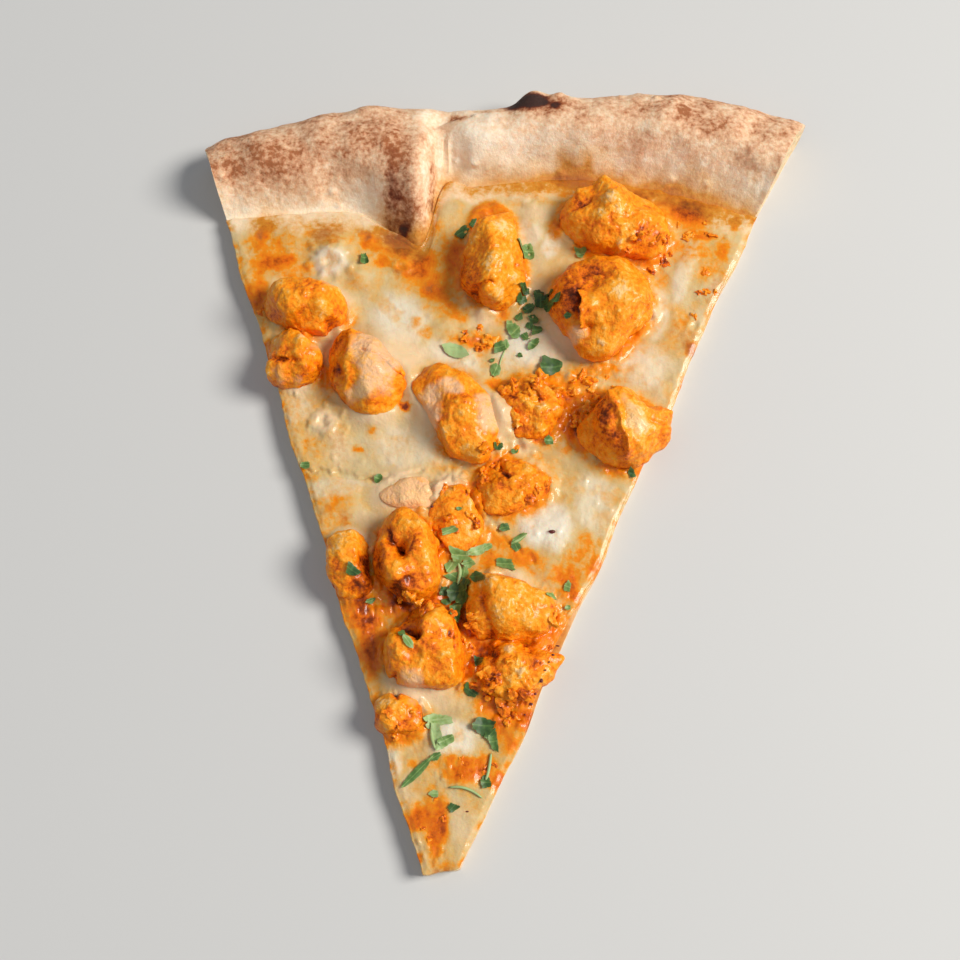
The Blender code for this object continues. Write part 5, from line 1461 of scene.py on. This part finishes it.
def againstChunks(x, y, flat, lift):
    # the cheese climbs each chunk: a bell of the distance past its outline, higher where it is
    # draped; returns the lift, the film on the drapes and the distance to the nearest chunk
    height, reach = cheeseShape["meniscus"]
    uneven = 0.75 + 0.9 * roughGrain(flat, 5.0, 408)
    film, nearest = np.zeros(x.shape), np.full(x.shape, 99.0)
    for chunk in chunks.values():
        azimuth, beyond = beyondChunk(x, y, chunk)
        nearest = np.minimum(nearest, beyond)
        hugging = bump(np.maximum(beyond + 0.3, 0), 0.0, reach)
        meniscus = height * hugging * uneven
        for middle, width, drapeHeight, drapeReach in chunk.get("drape", []):
            window = bump(turnsBetween(azimuth, middle), 0.0, width)
            drape = window * bump(np.maximum(beyond + 1.0, 0), 0.0, drapeReach)
            meniscus = np.maximum(meniscus, drapeHeight * drape)
            veil = window * bump(np.maximum(beyond, 0), 0.0, 0.8 * drapeReach)
            film = np.maximum(film, 1.1 * veil)
        lift = np.maximum(lift, lift * (1 - hugging)) + meniscus * (beyond < 12)
    return lift, film, nearest


def cheeseTop(x, y, toCut):
    # thickness of the layer: waves, mounds, the drop at the cuts and the room under the chunks,
    # then what the eye sees closer: grain, rubble, bubbles, creases and what climbs the chunks
    shape = cheeseShape
    flat = withHeight(x, y, 0.0)
    sauceX, sauceY = strayed(x, y, 4.5, 1.3, 331)
    sauceAndShade = spread(sauceX, sauceY, saucePoolsAndGapShade)
    milk = spread(*strayed(x, y, 7.0, 1.6, 351), milkPools, 0.35)
    height, lumpSize, noduleSize = shape["rubble"]
    rubble = billows(withHeight(sauceX, sauceY, 0.0), lumpSize, 403, 2, 0.6)
    rubble = rubble + cobbles(flat, noduleSize, 404) - 0.4
    where = np.maximum(spread(sauceX, sauceY, rubblePatches), 0.12 * ease(sauceAndShade, 0.4, 0.8))
    lift = layered(flat, shape["grain"]) + height * rubble * where + shape["milkRise"] * milk
    for bubbleX, bubbleY, ring, height in shape["bubbles"]:
        away = np.hypot(sauceX - bubbleX, sauceY - bubbleY) * (1 + 0.6 * roughGrain(flat, 4.0, 405))
        lift = lift + height * (bump(away, ring, 0.6 * ring) - 0.5 * bump(away, 0.0, 0.5 * ring))
    height, spacing = shape["pocks"]
    pocks = ease(cells(flat, spacing, 406)[0], 0.36, 0.1) * ease(grain(flat, 10.0, 407), 0.0, 0.35)
    lift = lift + height * pocks
    for stops, depth in shape["creases"]:
        away = lineDistance(sauceX, sauceY, stops)
        lift = lift - depth * (bump(away, 0.0, 0.55) - 0.35 * bump(away, 1.5, 0.9))
    lift, film, outside = againstChunks(x, y, flat, lift)
    thick = shape["thickness"] + shape["waves"] * waves(x, y, shape["waveLength"], 11)
    for moundX, moundY, size, height in shape["mounds"]:
        thick = thick + height * bump(np.hypot(x - moundX, y - moundY), 0.0, 0.8 * size)
    thick = thick - shape["edgeDrop"] * ease(toCut, shape["edgeWidth"], 0.0)
    room = shape["seat"] - sliceShape["doughThickness"] - sliceShape["gap"]
    thick = thick + (np.minimum(thick, room) - thick) * ease(outside, 9.0, 2.0)
    thick = thick + lift * (0.3 + 0.7 * ease(toCut, 0.0, 1.5))
    return thick, film, sauceAndShade, milk, outside


cheeseStains = {
    "round": (1.4, 1.2, 0.45),  # oil round each pool of sauce: times as wide, mm wider, how much
    "oil": 1.2,
    "halo": (0.62, 3.4),  # sauce at the chunks' feet: how much and how far
    "blots": (0.24, 8.0),  # faint ones everywhere: how much and how large
    "edge": (3.2, 0.28, 0.5),  # golden line at the cuts: width, how much, how uneven
    "nearRim": (8.5, 2.5),  # from how far below the crust the cheese looks bready, and fully so
}


def cheeseMarks(x, y, film, sauceAndShade, milk, outside, climb, toFoot, toCut, stainAndShade):
    # sauce pools (with painted shade in the gaps between chunks) with oil round them and a halo at
    # the chunks, milky pools, peachy film, toasted spots, a bready tint where the cheese thins out
    # over the foot of the crust, and the stain and painted shade along that foot
    stains = cheeseStains
    flat = withHeight(x, y, 0.0)
    times, more, much = stains["round"]
    wide = [
        (px, py, times * rx + more, times * ry + more, turn, much * amount)
        for px, py, rx, ry, turn, amount in saucePoolsAndGapShade
    ]
    oilX, oilY = strayed(x, y, 6.0, 2.0, 381)
    oil = np.maximum(spread(oilX, oilY, wide, 0.8), 1.05 * spread(oilX, oilY, oilPools, 0.8))
    oil = stains["oil"] * oil * (0.85 + 0.5 * roughGrain(flat, 5.0, 423))
    amount, reach = stains["halo"]
    halo = amount * bump(np.maximum(outside, 0), 0.0, reach) * ease(grain(flat, 9.0, 421), -0.7, 0.2)
    amount, size = stains["blots"]
    blots = amount * ease(roughGrain(flat, size, 422), 0.0, 0.5)
    film = np.maximum(film, spread(*strayed(x, y, 5.0, 1.4, 361), filmPools))
    bare = 1 - np.clip(film, 0, 1)
    layers = [sauceAndShade, oil * bare * (1 - 0.6 * milk), halo * (0.2 + 0.8 * bare), blots * bare]
    sauceAndShade = np.maximum.reduce(layers)
    toast = spread(*strayed(x, y, 4.5, 2.4, 371), toastSpots, 0.9)
    film = film * ease(sauceAndShade, 0.9, 0.5)
    nearRim = ease(toFoot * (1 + 0.6 * roughGrain(flat, 9.0, 426)), *stains["nearRim"])
    bread = np.maximum(ease(climb, 0.0, 0.5), nearRim)
    width, amount, uneven = stains["edge"]
    edge = ease(toCut, width, 0.0) * (amount + uneven * roughGrain(flat, 4.0, 425))
    sauceAndShade = np.maximum.reduce([sauceAndShade * (1 - 0.6 * film) * ease(climb, 1.0, 0.2), stainAndShade, edge])
    marks = {"sauceAndShade": sauceAndShade, "milk": milk, "film": film, "toast": toast, "bread": bread}
    return {key: np.clip(value, 0, 1) for key, value in marks.items()}


def rollDown(top, marks):
    # a rounded edge: a quarter turn outwards and down from each side of the grid to the dough
    count = cheeseShape["sideRows"]
    bottom = cheeseShape["bottom"]
    turn = np.arange(1, count + 1) / count * np.pi / 2
    widened = top
    for axis, sides in ((1, (0, -1)), (0, (0, -1))):
        for side in sides:
            edge = np.take(widened, [side], axis=axis)
            inner = np.take(widened, [1 if side == 0 else -2], axis=axis)
            away = edge - inner
            away[..., 2] = 0
            away = away / np.maximum(np.linalg.norm(away, axis=-1, keepdims=True), 1e-6)
            shape = [1, 1, 1]
            shape[axis] = count
            angle = turn.reshape(shape)
            back = axis == 0 and side == -1
            out = (0.0 if back else 0.30) * np.sin(2 * angle)
            drop = (edge[..., 2:] - bottom) * (1 - np.cos(angle))
            extra = edge + away * out - np.array([0.0, 0.0, 1.0]) * drop
            if side == 0:
                widened = np.concatenate([np.flip(extra, axis=axis), widened], axis=axis)
            else:
                widened = np.concatenate([widened, extra], axis=axis)
    pad = ((count, count), (count, count))
    return widened, {key: np.pad(value, pad, mode="edge").ravel() for key, value in marks.items()}


def makeCheese():
    # rows from tip to crust and columns from cut to cut, with the edges rolled down to the
    # dough and the last rows run under the skin of the crust
    shape = cheeseShape
    u = columnPlaces(shape["columns"])[None, :]
    foot = footRadius(u)
    share = np.linspace(0, 1, shape["rows"] + 1)[:, None]
    start = tipRadius(u) + shape["inset"]
    radius = start + (shape["meanFoot"] - start) * share + (foot - shape["meanFoot"]) * share**8
    place, size, width = shape["bareEdge"]
    bare = np.where(u > 0, width * bump(radius, place, size), 0.0)
    ragged = 0.42 * roughGrain(withHeight(radius, 5 * np.sign(u), 0.0), 5.0, 431)
    inset = (shape["inset"] + bare) * np.clip((foot - radius) / shape["insetFade"], 0, 1) + ragged
    flat = slicePoint(u, radius, 0.0, inset)
    climb = np.arange(1, shape["climbRows"] + 1)[:, None] / shape["climbRows"]
    upperEdge = shape["climb"] + 0.08 * roughGrain(withHeight(u * 90, 0.0, 0.0), 9.0, 432)
    upRadius, upZ = crustSection(u, climb * np.maximum(upperEdge, 0.02))
    flat = np.concatenate([flat, slicePoint(u, upRadius, 0.0, ragged[-1:])])
    base = 0 * radius + sliceShape["doughThickness"] + sliceShape["gap"]
    rest = np.concatenate([base, upZ + sliceShape["gap"] * (1 - climb)])
    x, y = flat[..., 0], flat[..., 1]
    allRadius = np.concatenate([radius, upRadius])
    toCut = (1 - np.abs(u)) * allRadius * cutAngle
    thick, film, sauceAndShade, milk, outside = cheeseTop(x, y, np.minimum(toCut, allRadius - start))
    climbed = np.concatenate([0 * radius, climb + 0 * upRadius])
    toFoot = np.concatenate([foot - radius, 0 * upRadius])
    # thinner towards the foot of the crust, and sunk into it at the upper edge
    thick = thick * (1 - climbed) ** 1.5 * (1 - 0.45 * ease(toFoot, 10.0, 0.0))
    thick = thick - 0.75 * ease(climbed, 0.5, 1.0)
    # the stain and painted shade along the foot of the crust, carried onto the cheese
    stainAndShade = stainAndShadeAtFoot(u, allRadius - foot, withHeight(x, y, 0.0))
    marks = cheeseMarks(x, y, film, sauceAndShade, milk, outside, climbed, toFoot, toCut, stainAndShade)
    rolled, carried = rollDown(withHeight(x, y, rest + thick), marks)
    rows, across = rolled.shape[:2]
    number = np.arange(rows * across).reshape(rows, across)
    faces = gridFaces(rows, across)
    faces += closeUnder(number[1:-1, 0], number[1:-1, -1], number[0], number[-1])
    points = insideBox(rolled.reshape(-1, 3))
    piece = makePiece("meltedCheese", points, faces, cheeseFinish, carried, creaseAngle=70, weld=True)
    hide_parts("cheese")
    return piece


cheese = makeCheese()
print("cheese made:", len(cheese.data.polygons), "faces")


# What is scattered on top: crumbs of chicken, chopped parsley and dried chilli

def heightMap(pieces, cell=0.7):
    # the highest point of the pieces over each cell of the table, in millimetres
    spots = []
    for piece in pieces:
        where = np.empty(len(piece.data.vertices) * 3, np.float32)
        piece.data.vertices.foreach_get("co", where)
        spots.append(where.reshape(-1, 3) / mm)
    spots = np.concatenate(spots)
    low = spots[:, :2].min(axis=0) - 2 * cell
    place = np.round((spots[:, :2] - low) / cell).astype(int)
    heights = np.zeros(place.max(axis=0) + 3)
    np.maximum.at(heights, (place[:, 0], place[:, 1]), spots[:, 2])
    for step in range(2):
        around = [np.roll(heights, (i, j), axis=(0, 1)) for i in (-1, 0, 1) for j in (-1, 0, 1)]
        heights = np.where(heights > 0, heights, np.max(around, axis=0))
    return {"low": low, "cell": cell, "heights": heights}


def heightAt(ground, x, y):
    # the map's height between its four nearest cells
    x, y = np.asarray(x, float), np.asarray(y, float)
    heights = ground["heights"]
    column = np.clip((x - ground["low"][0]) / ground["cell"], 0, heights.shape[0] - 1.001)
    row = np.clip((y - ground["low"][1]) / ground["cell"], 0, heights.shape[1] - 1.001)
    i, j = column.astype(int), row.astype(int)
    s, t = column - i, row - j
    near = heights[i, j] * (1 - s) + heights[i + 1, j] * s
    far = heights[i, j + 1] * (1 - s) + heights[i + 1, j + 1] * s
    return near * (1 - t) + far * t


ground = heightMap(chickenPieces + [cheese, dough])

crumbPatches = [  # where crumbs lie: x, y, half width, half height, how many, size
    (47, 66, 8, 5, 9, 1.6), (17, 15, 13, 10, 15, 1.9), (9, -6, 12, 10, 10, 1.8),
    (12, -68, 10, 8, 13, 1.8), (22, -56, 5, 8, 6, 1.5), (-6, -18, 7, 11, 7, 1.5),
    (-15, -47, 7, 4, 7, 1.5), (31, 23, 7, 5, 9, 1.5), (-6, 36, 7, 4, 7, 1.4), (60, 4, 4, 6, 7, 1.4),
    (2, -93, 8, 3, 4, 1), (-9, -107, 5, 6, 4, 1), (14, -80, 5, 5, 7, 1.3), (-21, -81, 7, 5, 8, 1.4),
    (-72, 33, 3, 10, 6, 1.3), (64, 53, 5, 10, 5, 1.1), (62, 78, 9, 6, 6, 1.2), (-2, -52, 5, 12, 6, 1.5),
]


def newHeap():
    return {"points": [], "faces": [], "marks": [], "count": 0}


def addGrid(heap, grid, marks=0.0, flip=False):
    # adds a small grid of points to a heap of them, with a mark for each of its points
    rows, across = grid.shape[:2]
    faces = gridFaces(rows, across, start=heap["count"])
    heap["faces"] += [face[::-1] for face in faces] if flip else faces
    heap["points"].append(grid.reshape(-1, 3))
    heap["marks"].append(np.broadcast_to(marks, (rows, across)).ravel())
    heap["count"] += rows * across


def pieceOf(name, heap, finish, label):
    marks = {label: np.concatenate(heap["marks"])}
    points = insideBox(np.concatenate(heap["points"]))
    return makePiece(name, points, heap["faces"], finish, marks, weld=True)


def onCheese(x, y, margin):
    # whether a place lies between the cuts, at least the margin away from both
    apexX, apexY = sliceShape["apex"]
    angle = abs(math.atan2(x - apexX, y - apexY))
    radius = math.hypot(x - apexX, y - apexY)
    return (cutAngle - angle) * radius > margin + 0.8


crumbShape = {
    "seed": 61,
    "rows": 13,
    "around": 20,
    "sizes": (0.55, 1.25),  # times the patch's own
    "least": (0.9, 0.7, 0.5),  # length, width and height at the least and at the most
    "most": (1.4, 1.1, 0.8),
    "dents": (0.9, 0.9),  # depth and size
    "sunk": 0.45,
    "sauceAndShade": (0.4, 0.75),
}


def makeCrumbs():
    # small uneven shreds and nodules, nearly half sunk where they lie: a ball dented by noise,
    # stretched and turned
    shape = crumbShape
    draw = np.random.default_rng(shape["seed"])
    elevation = np.linspace(-90, 90, shape["rows"])[:, None]
    azimuth = np.arange(shape["around"] + 1)[None, :] * 360.0 / shape["around"]
    ball = pointing(azimuth, elevation)
    dents, dentSize = shape["dents"]
    heap = newHeap()
    for patchX, patchY, halfWidth, halfHeight, count, size in crumbPatches:
        for n in range(count):
            turn, out = draw.uniform(0, 2 * np.pi), math.sqrt(draw.uniform(0, 1))
            x = patchX + halfWidth * out * math.cos(turn)
            y = patchY + halfHeight * out * math.sin(turn)
            reach = size * draw.uniform(*shape["sizes"])
            stretch = reach * draw.uniform(shape["least"], shape["most"])
            dented = 1 + dents * roughGrain(ball + 9.0 * n + patchX, dentSize, 62)
            spin = draw.uniform(0, 2 * np.pi)
            cosine, sine = math.cos(spin), math.sin(spin)
            twist = np.array([[cosine, sine, 0], [-sine, cosine, 0], [0, 0, 1]])
            if not onCheese(x, y, 1.2 * reach):
                continue
            low = heightAt(ground, x, y) - shape["sunk"] * stretch[2]
            grid = ball * dented[..., None] * stretch @ twist + np.array([x, y, low])
            # the sauce colour is deeper where a crumb is dented: sauce and painted shade
            addGrid(heap, grid, draw.uniform(*shape["sauceAndShade"]) + 0.35 * (1 - dented))
    piece = pieceOf("chickenCrumbs", heap, chickenFinish, "sauceAndShade")


parsley = [  # x, y, length, width, turn, shade (0 dark, 1 light); the others are torn scraps
    (-11, 31.7, 8.6, 5.6, -20, 0.75, "leaf"), (-11.5, 71.7, 4.6, 3.6, 40, 0.1),
    (-8.5, 74.7, 2.6, 1.6, 60, 0.2), (9, 66.2, 3.8, 5, 0, 0.45), (6.5, 39.2, 5, 4.6, 50, 0.4),
    (9, 52.2, 3.4, 2, 20, 0.1), (14, 49.2, 5, 4.4, 90, 0.05), (16.5, 45.7, 3.4, 3, 0, 0.15),
    (5, 41.7, 2.4, 2, 0, 0.5), (2, 33.7, 3.6, 3, 20, 0.3), (4, 34.7, 3, 2.4, 100, 0.45),
    (12.5, 35.2, 3, 4.8, -30, 0.35), (18.5, 28.2, 7.2, 5, 10, 0.1), (1.5, 26.2, 3.8, 3.2, 70, 0.4),
    (-41, 60.7, 2, 4, 10, 0.3), (25.5, 66.2, 3.4, 2.2, 0, 0.45), (18.5, 4.2, 2.6, 2.6, 0, 0.35),
    (3.5, 1.2, 3, 2, 30, 0.1), (8.5, 0.7, 2.4, 1.6, 0, 0.3), (43.5, -4.3, 2.8, 2, -30, 0.1),
    (-53, -7.3, 2.8, 2.2, 0, 0.35), (-31, -10.3, 2.6, 4, -20, 0.3, "leaf"),
    (-35.5, -40.3, 3.4, 2.4, -30, 0.1), (-9, -25.8, 3.8, 2.2, 30, 0.45), (7, -22.8, 3, 2.4, 20, 0.2),
    (11.5, -25.8, 6, 2, 40, 0.4), (10.5, -28.2, 3.4, 2.2, -60, 0.3), (-5.5, -32.3, 4.6, 3.4, 0, 0.45),
    (-1, -30.8, 5.6, 2.4, 25, 0.6), (2, -29, 4, 2, 30, 0.5), (-8, -35.3, 3.6, 2.6, 60, 0.5),
    (-4, -36.8, 3.4, 2.4, 80, 0.4), (-6, -42.8, 5.6, 4.6, 0, 0.05), (-4, -44.8, 3.8, 3, 50, 0.15),
    (-8.5, -45.8, 3, 2, 0, 0.2), (-6, -49.3, 2.8, 4.6, 0, 0.4), (-0.5, -39.3, 3.8, 3.2, 0, 0.12),
    (7.5, -33.8, 6, 3, 0, 0.35), (21, -43.3, 2.2, 1.6, 0, 0.5),
    (-18, -60.3, 4.6, 2.8, -50, 0.55, "leaf"), (-20, -57.8, 2.4, 2, 0, 0.3),
    (1.5, -62.8, 2.4, 3, 0, 0.05), (0, -71.3, 5, 3.4, -30, 0.1), (-8.5, -79.8, 7, 3.6, 10, 0.65),
    (-9, -83.8, 3, 6, 10, 0.8), (-6, -85.4, 4.4, 2.8, 30, 0.45), (4.5, -80.8, 5.4, 4.4, 0, 0.08),
    (7.4, -85, 2.6, 5, 12, 0.3), (5.6, -96.4, 3, 3, 0, 0.15), (-13.5, -94.8, 12, 2.9, 48, 0.32, "leaf"),
    (-8.6, -90.2, 3.6, 2.6, 30, 0.35), (-3, -103.8, 3, 2, 50, 0.1), (-8.4, -100.2, 2.4, 2.2, 0, 0.6),
    (26, -39.5, 2.4, 2.6, -20, 0.5), (26.4, -45.6, 1.8, 1.6, 0, 0.5), (-30, -47, 2.8, 1.6, 30, 0.3),
    (-6.5, -19, 1.6, 1.2, 0, 0.4), (22, 40.5, 2, 1.6, 0, 0.15), (8.5, 31.5, 1.6, 1.4, 0, 0.2),
    (0.2, 29.2, 1.4, 1.4, 0, 0.2),
    # the thick of the clusters
    (13, 52, 3.4, 2.8, -20, 0.03), (18.4, 46.6, 3, 2.4, 60, 0.1), (8.4, 49.4, 2.8, 2.2, 30, 0.15),
    (11, 41.4, 2.4, 2.2, 80, 0.1), (10.5, 47, 3.6, 3, 30, 0.05), (12, 43.5, 3.2, 2.6, -20, 0.12),
    (7.6, 44, 3, 2.2, 60, 0.22), (13.6, 40, 3, 2.4, 10, 0.2), (10, 37.5, 2.6, 2, -50, 0.3),
    (16, 50.5, 3, 2.4, 40, 0.02), (-3, -34, 3.6, 2.8, 20, 0.42), (-6.5, -38.5, 3.8, 2.6, -30, 0.3),
    (-3.6, -40.6, 3.2, 2.6, 70, 0.15), (-9.4, -43, 3, 2.4, 20, 0.08), (-5.6, -47.2, 3, 2.4, -20, 0.15),
    (-9.8, -81.8, 3.6, 2.6, -20, 0.7), (-7.6, -87.2, 3.2, 2.2, 60, 0.75), (6.4, -83, 3.4, 2.6, 50, 0.12),
]
parsleyStems = [  # points along each stem, thickness
    (((6.8, -88), (6.6, -91), (6.2, -94), (5.6, -96)), 0.9),
    (((-4.6, -98.4), (-1, -98.2), (2.2, -99), (5.2, -100.8)), 0.8),
    (((-10.4, -81.5), (-10, -85), (-8.8, -88.2)), 1),
    (((9, -27.6), (11, -26.6), (13.6, -24.6)), 0.7),
    (((2.4, 26.5), (3, 30), (4, 33)), 0.5),
    (((-6, -34), (-5.2, -37), (-5.6, -41)), 1.1),
]


parsleyShape = {
    "seed": 71,
    "rings": 5,
    "around": 40,
    "teeth": (7, 11),  # along the edge, from and up to
    "knifeCuts": (4, 7),
    "tornSize": 1.25,  # torn scraps and leaves are drawn this much larger, as their edges cut in
    "leafSize": 1.08,
    "curl": (0.1, 0.5),
    "tilt": (-0.25, 0.25),
    "crinkle": (0.22, 1.6),  # height and size
    "raised": 0.3,
    "thickness": 0.28,
    "vein": 0.25,
    "paleRim": 0.12,
    "stemShade": 0.85,
    "stemRings": 12,
    "stemSides": 8,
}


def scrapOutline(turn, leaf, draw):
    # how far the edge is at each turn: the nearest of a few knife cuts, or a leaf's soft oval,
    # with fine teeth
    teeth = draw.integers(*parsleyShape["teeth"])
    phase = draw.uniform(0, 2 * np.pi)
    wave = np.abs(np.sin((teeth * turn + phase) / 2 + 0.6 * np.sin(turn * 2 + phase)))
    if leaf:
        return (1 - 0.25 * np.abs(np.sin(turn)) ** 0.6) * (0.93 + 0.07 * wave)
    sides = draw.integers(*parsleyShape["knifeCuts"])
    facing = (np.arange(sides) + draw.uniform(-0.3, 0.3, sides)) * 2 * np.pi / sides
    reach = draw.uniform(0.62, 1.0, sides)
    cuts = np.clip(np.cos(turn[..., None] - facing), 0, None) / reach
    return ((cuts**12).sum(axis=-1)) ** (-1 / 12) * (0.86 + 0.14 * wave)


def addStem(heap, stops, thickness):
    # a tube along a smooth line through the stops, thin at both ends, lying on what is below
    rings, sides = parsleyShape["stemRings"], parsleyShape["stemSides"]
    stations = np.array(stops)
    t = np.linspace(0, len(stops) - 1, rings)
    lineX = through(t, np.arange(len(stops)), stations[:, 0])
    lineY = through(t, np.arange(len(stops)), stations[:, 1])
    line = withHeight(lineX, lineY, heightAt(ground, lineX, lineY) + 0.5 * thickness)
    ahead = np.gradient(line, axis=0)
    ahead = ahead / np.linalg.norm(ahead, axis=1, keepdims=True)
    side = np.cross(ahead, np.array([0.0, 0.0, 1.0]))
    up = np.cross(side, ahead)
    turn = (np.arange(sides + 1) * 2 * np.pi / sides)[None, :, None]
    radius = 0.5 * thickness * np.sin(np.pi * np.linspace(0, 1, rings)) ** 0.25
    ring = np.cos(turn) * side[:, None] + np.sin(turn) * up[:, None]
    addGrid(heap, line[:, None] + radius[:, None, None] * ring, parsleyShape["stemShade"])


def makeParsley():
    # each scrap is a thin closed sheet over its outline, curled and laid on what is below
    shape = parsleyShape
    draw = np.random.default_rng(shape["seed"])
    out = np.linspace(0, 1, shape["rings"] + 1)[:, None]
    turn = np.arange(shape["around"] + 1)[None, :] * 2 * np.pi / shape["around"]
    heap = newHeap()
    for x, y, length, width, angle, shade, *leaf in parsley:
        edge = out * scrapOutline(turn, leaf, draw) * (shape["leafSize"] if leaf else shape["tornSize"])
        localX = edge * np.cos(turn) * length / 2
        localY = edge * np.sin(turn) * width / 2
        cosine, sine = math.cos(math.radians(angle)), math.sin(math.radians(angle))
        placeX = x + localX * cosine - localY * sine
        placeY = y + localX * sine + localY * cosine
        below = heightAt(ground, placeX, placeY)
        curl = draw.uniform(*shape["curl"]) * (localX / (length / 2)) ** 2 * min(width, 4.0) / 2
        tilt = draw.uniform(*shape["tilt"]) * localX + draw.uniform(*shape["tilt"]) * localY
        height, size = shape["crinkle"]
        crinkle = height * grain(withHeight(placeX, placeY), size, 72)
        sheet = np.maximum(0.6 * (np.median(below) + tilt) + 0.4 * below, below - 0.1)
        sheet = sheet + shape["raised"] + curl + crinkle
        vein = shape["vein"] * ease(np.abs(localY) / (width / 2), 0.14, 0.0)
        for side in (1, -1):
            z = sheet + side * shape["thickness"] / 2 * (1 - out**4)
            shades = shade + vein + shape["paleRim"] * out**3
            addGrid(heap, withHeight(placeX, placeY, z), shades, flip=side < 0)
    for stops, thickness in parsleyStems:
        addStem(heap, stops, thickness)
    piece = pieceOf("choppedParsley", heap, leafFinish, "shade")


pepperFlecks = [  # x, y, size
    (20.8, -23.6, 2.2), (22.6, -60.4, 1), (20.6, -65, 0.9), (19.6, -68, 1.6), (18.2, -71.2, 1),
    (17.2, -74, 1.1), (21.6, -62.6, 0.8), (-14.6, -18.4, 1.2), (1.2, -104.6, 0.8), (1, -40.6, 0.7),
    (24, -56.6, 1), (15.6, -77, 0.8),
]


def makePepper():
    # flat angular chips: a coarse ball, dented by noise and pressed flat
    draw = np.random.default_rng(81)
    sides = 8
    ball = pointing(np.arange(sides + 1)[None, :] * 360.0 / sides, np.linspace(-90, 90, 5)[:, None])
    heap = newHeap()
    for x, y, size in pepperFlecks:
        chip = ball * (1 + 0.35 * grain(ball + x, 0.7, 82))[..., None]
        chip = chip * size / 2 * draw.uniform((0.7, 0.5, 0.25), (1.2, 0.9, 0.4))
        addGrid(heap, chip + np.array([x, y, heightAt(ground, x, y) + 0.2]))
    piece = pieceOf("driedChilli", heap, pepperFinish, "sauceAndShade")


makeCrumbs()
makeParsley()
makePepper()
print("crumbs, parsley and chilli laid on")


# Stage: a plain pale table, soft window light from the right, and the camera

stage = {
    "camera": (6.78, -139.56, 422.04),
    "lookAt": (-1.14, -8.31, 5.0),
    "fieldOfView": 36.0,
    "floorSize": 14.0,
    "floorColour": "#CECECD",
    "windowAt": (1480.0, 180.0, 1480.0),
    "windowSize": 1.0,
    "windowPower": 52.0,
    "fillAt": (-900.0, -500.0, 1300.0),
    "fillSize": 2.0,
    "fillPower": 3.0,
    "skyColour": "#E9EEF5",
    "skyStrength": 0.28,
}


def makeFloor():
    mesh = bpy.data.meshes.new("table")
    half = stage["floorSize"] / 2
    corners = [(-half, -half, 0), (half, -half, 0), (half, half, 0), (-half, half, 0)]
    mesh.from_pydata(corners, [], [(0, 1, 2, 3)])
    finish, tree, shader, place = newMaterial("pale matt table", Roughness=0.6, Specular_IOR_Level=0.3)
    shader.inputs["Base Color"].default_value = linear(stage["floorColour"])
    mesh.materials.append(finish)
    floor = bpy.data.objects.new("table", mesh)
    bpy.context.scene.collection.objects.link(floor)


def softLight(name, place, size, power, colour):
    light = bpy.data.lights.new(name, "AREA")
    light.shape = "DISK"
    light.size = size
    light.energy = power
    light.color = linear(colour)[:3]
    lamp = bpy.data.objects.new(name, light)
    lamp.location = Vector(place) * mm
    lamp.rotation_euler = (-lamp.location).to_track_quat("-Z", "Y").to_euler()
    bpy.context.scene.collection.objects.link(lamp)


def makeStage():
    makeFloor()
    softLight("window", stage["windowAt"], stage["windowSize"], stage["windowPower"], "#FFFBF4")
    softLight("fill", stage["fillAt"], stage["fillSize"], stage["fillPower"], "#F4F7FF")
    world = bpy.data.worlds.new("pale sky")
    world.use_nodes = True
    sky = world.node_tree.nodes["Background"]
    sky.inputs["Color"].default_value = linear(stage["skyColour"])
    sky.inputs["Strength"].default_value = stage["skyStrength"]
    bpy.context.scene.world = world
    camera = bpy.data.cameras.new("camera")
    camera.angle = math.radians(stage["fieldOfView"])
    camera.clip_start = 0.01
    holder = bpy.data.objects.new("camera", camera)
    holder.location = Vector(stage["camera"]) * mm
    aim = Vector(stage["lookAt"]) * mm - holder.location
    holder.rotation_euler = aim.to_track_quat("-Z", "Y").to_euler()
    bpy.context.scene.collection.objects.link(holder)
    bpy.context.scene.camera = holder
    bpy.context.scene.view_settings.view_transform = "Standard"


makeStage()
print("stage set")
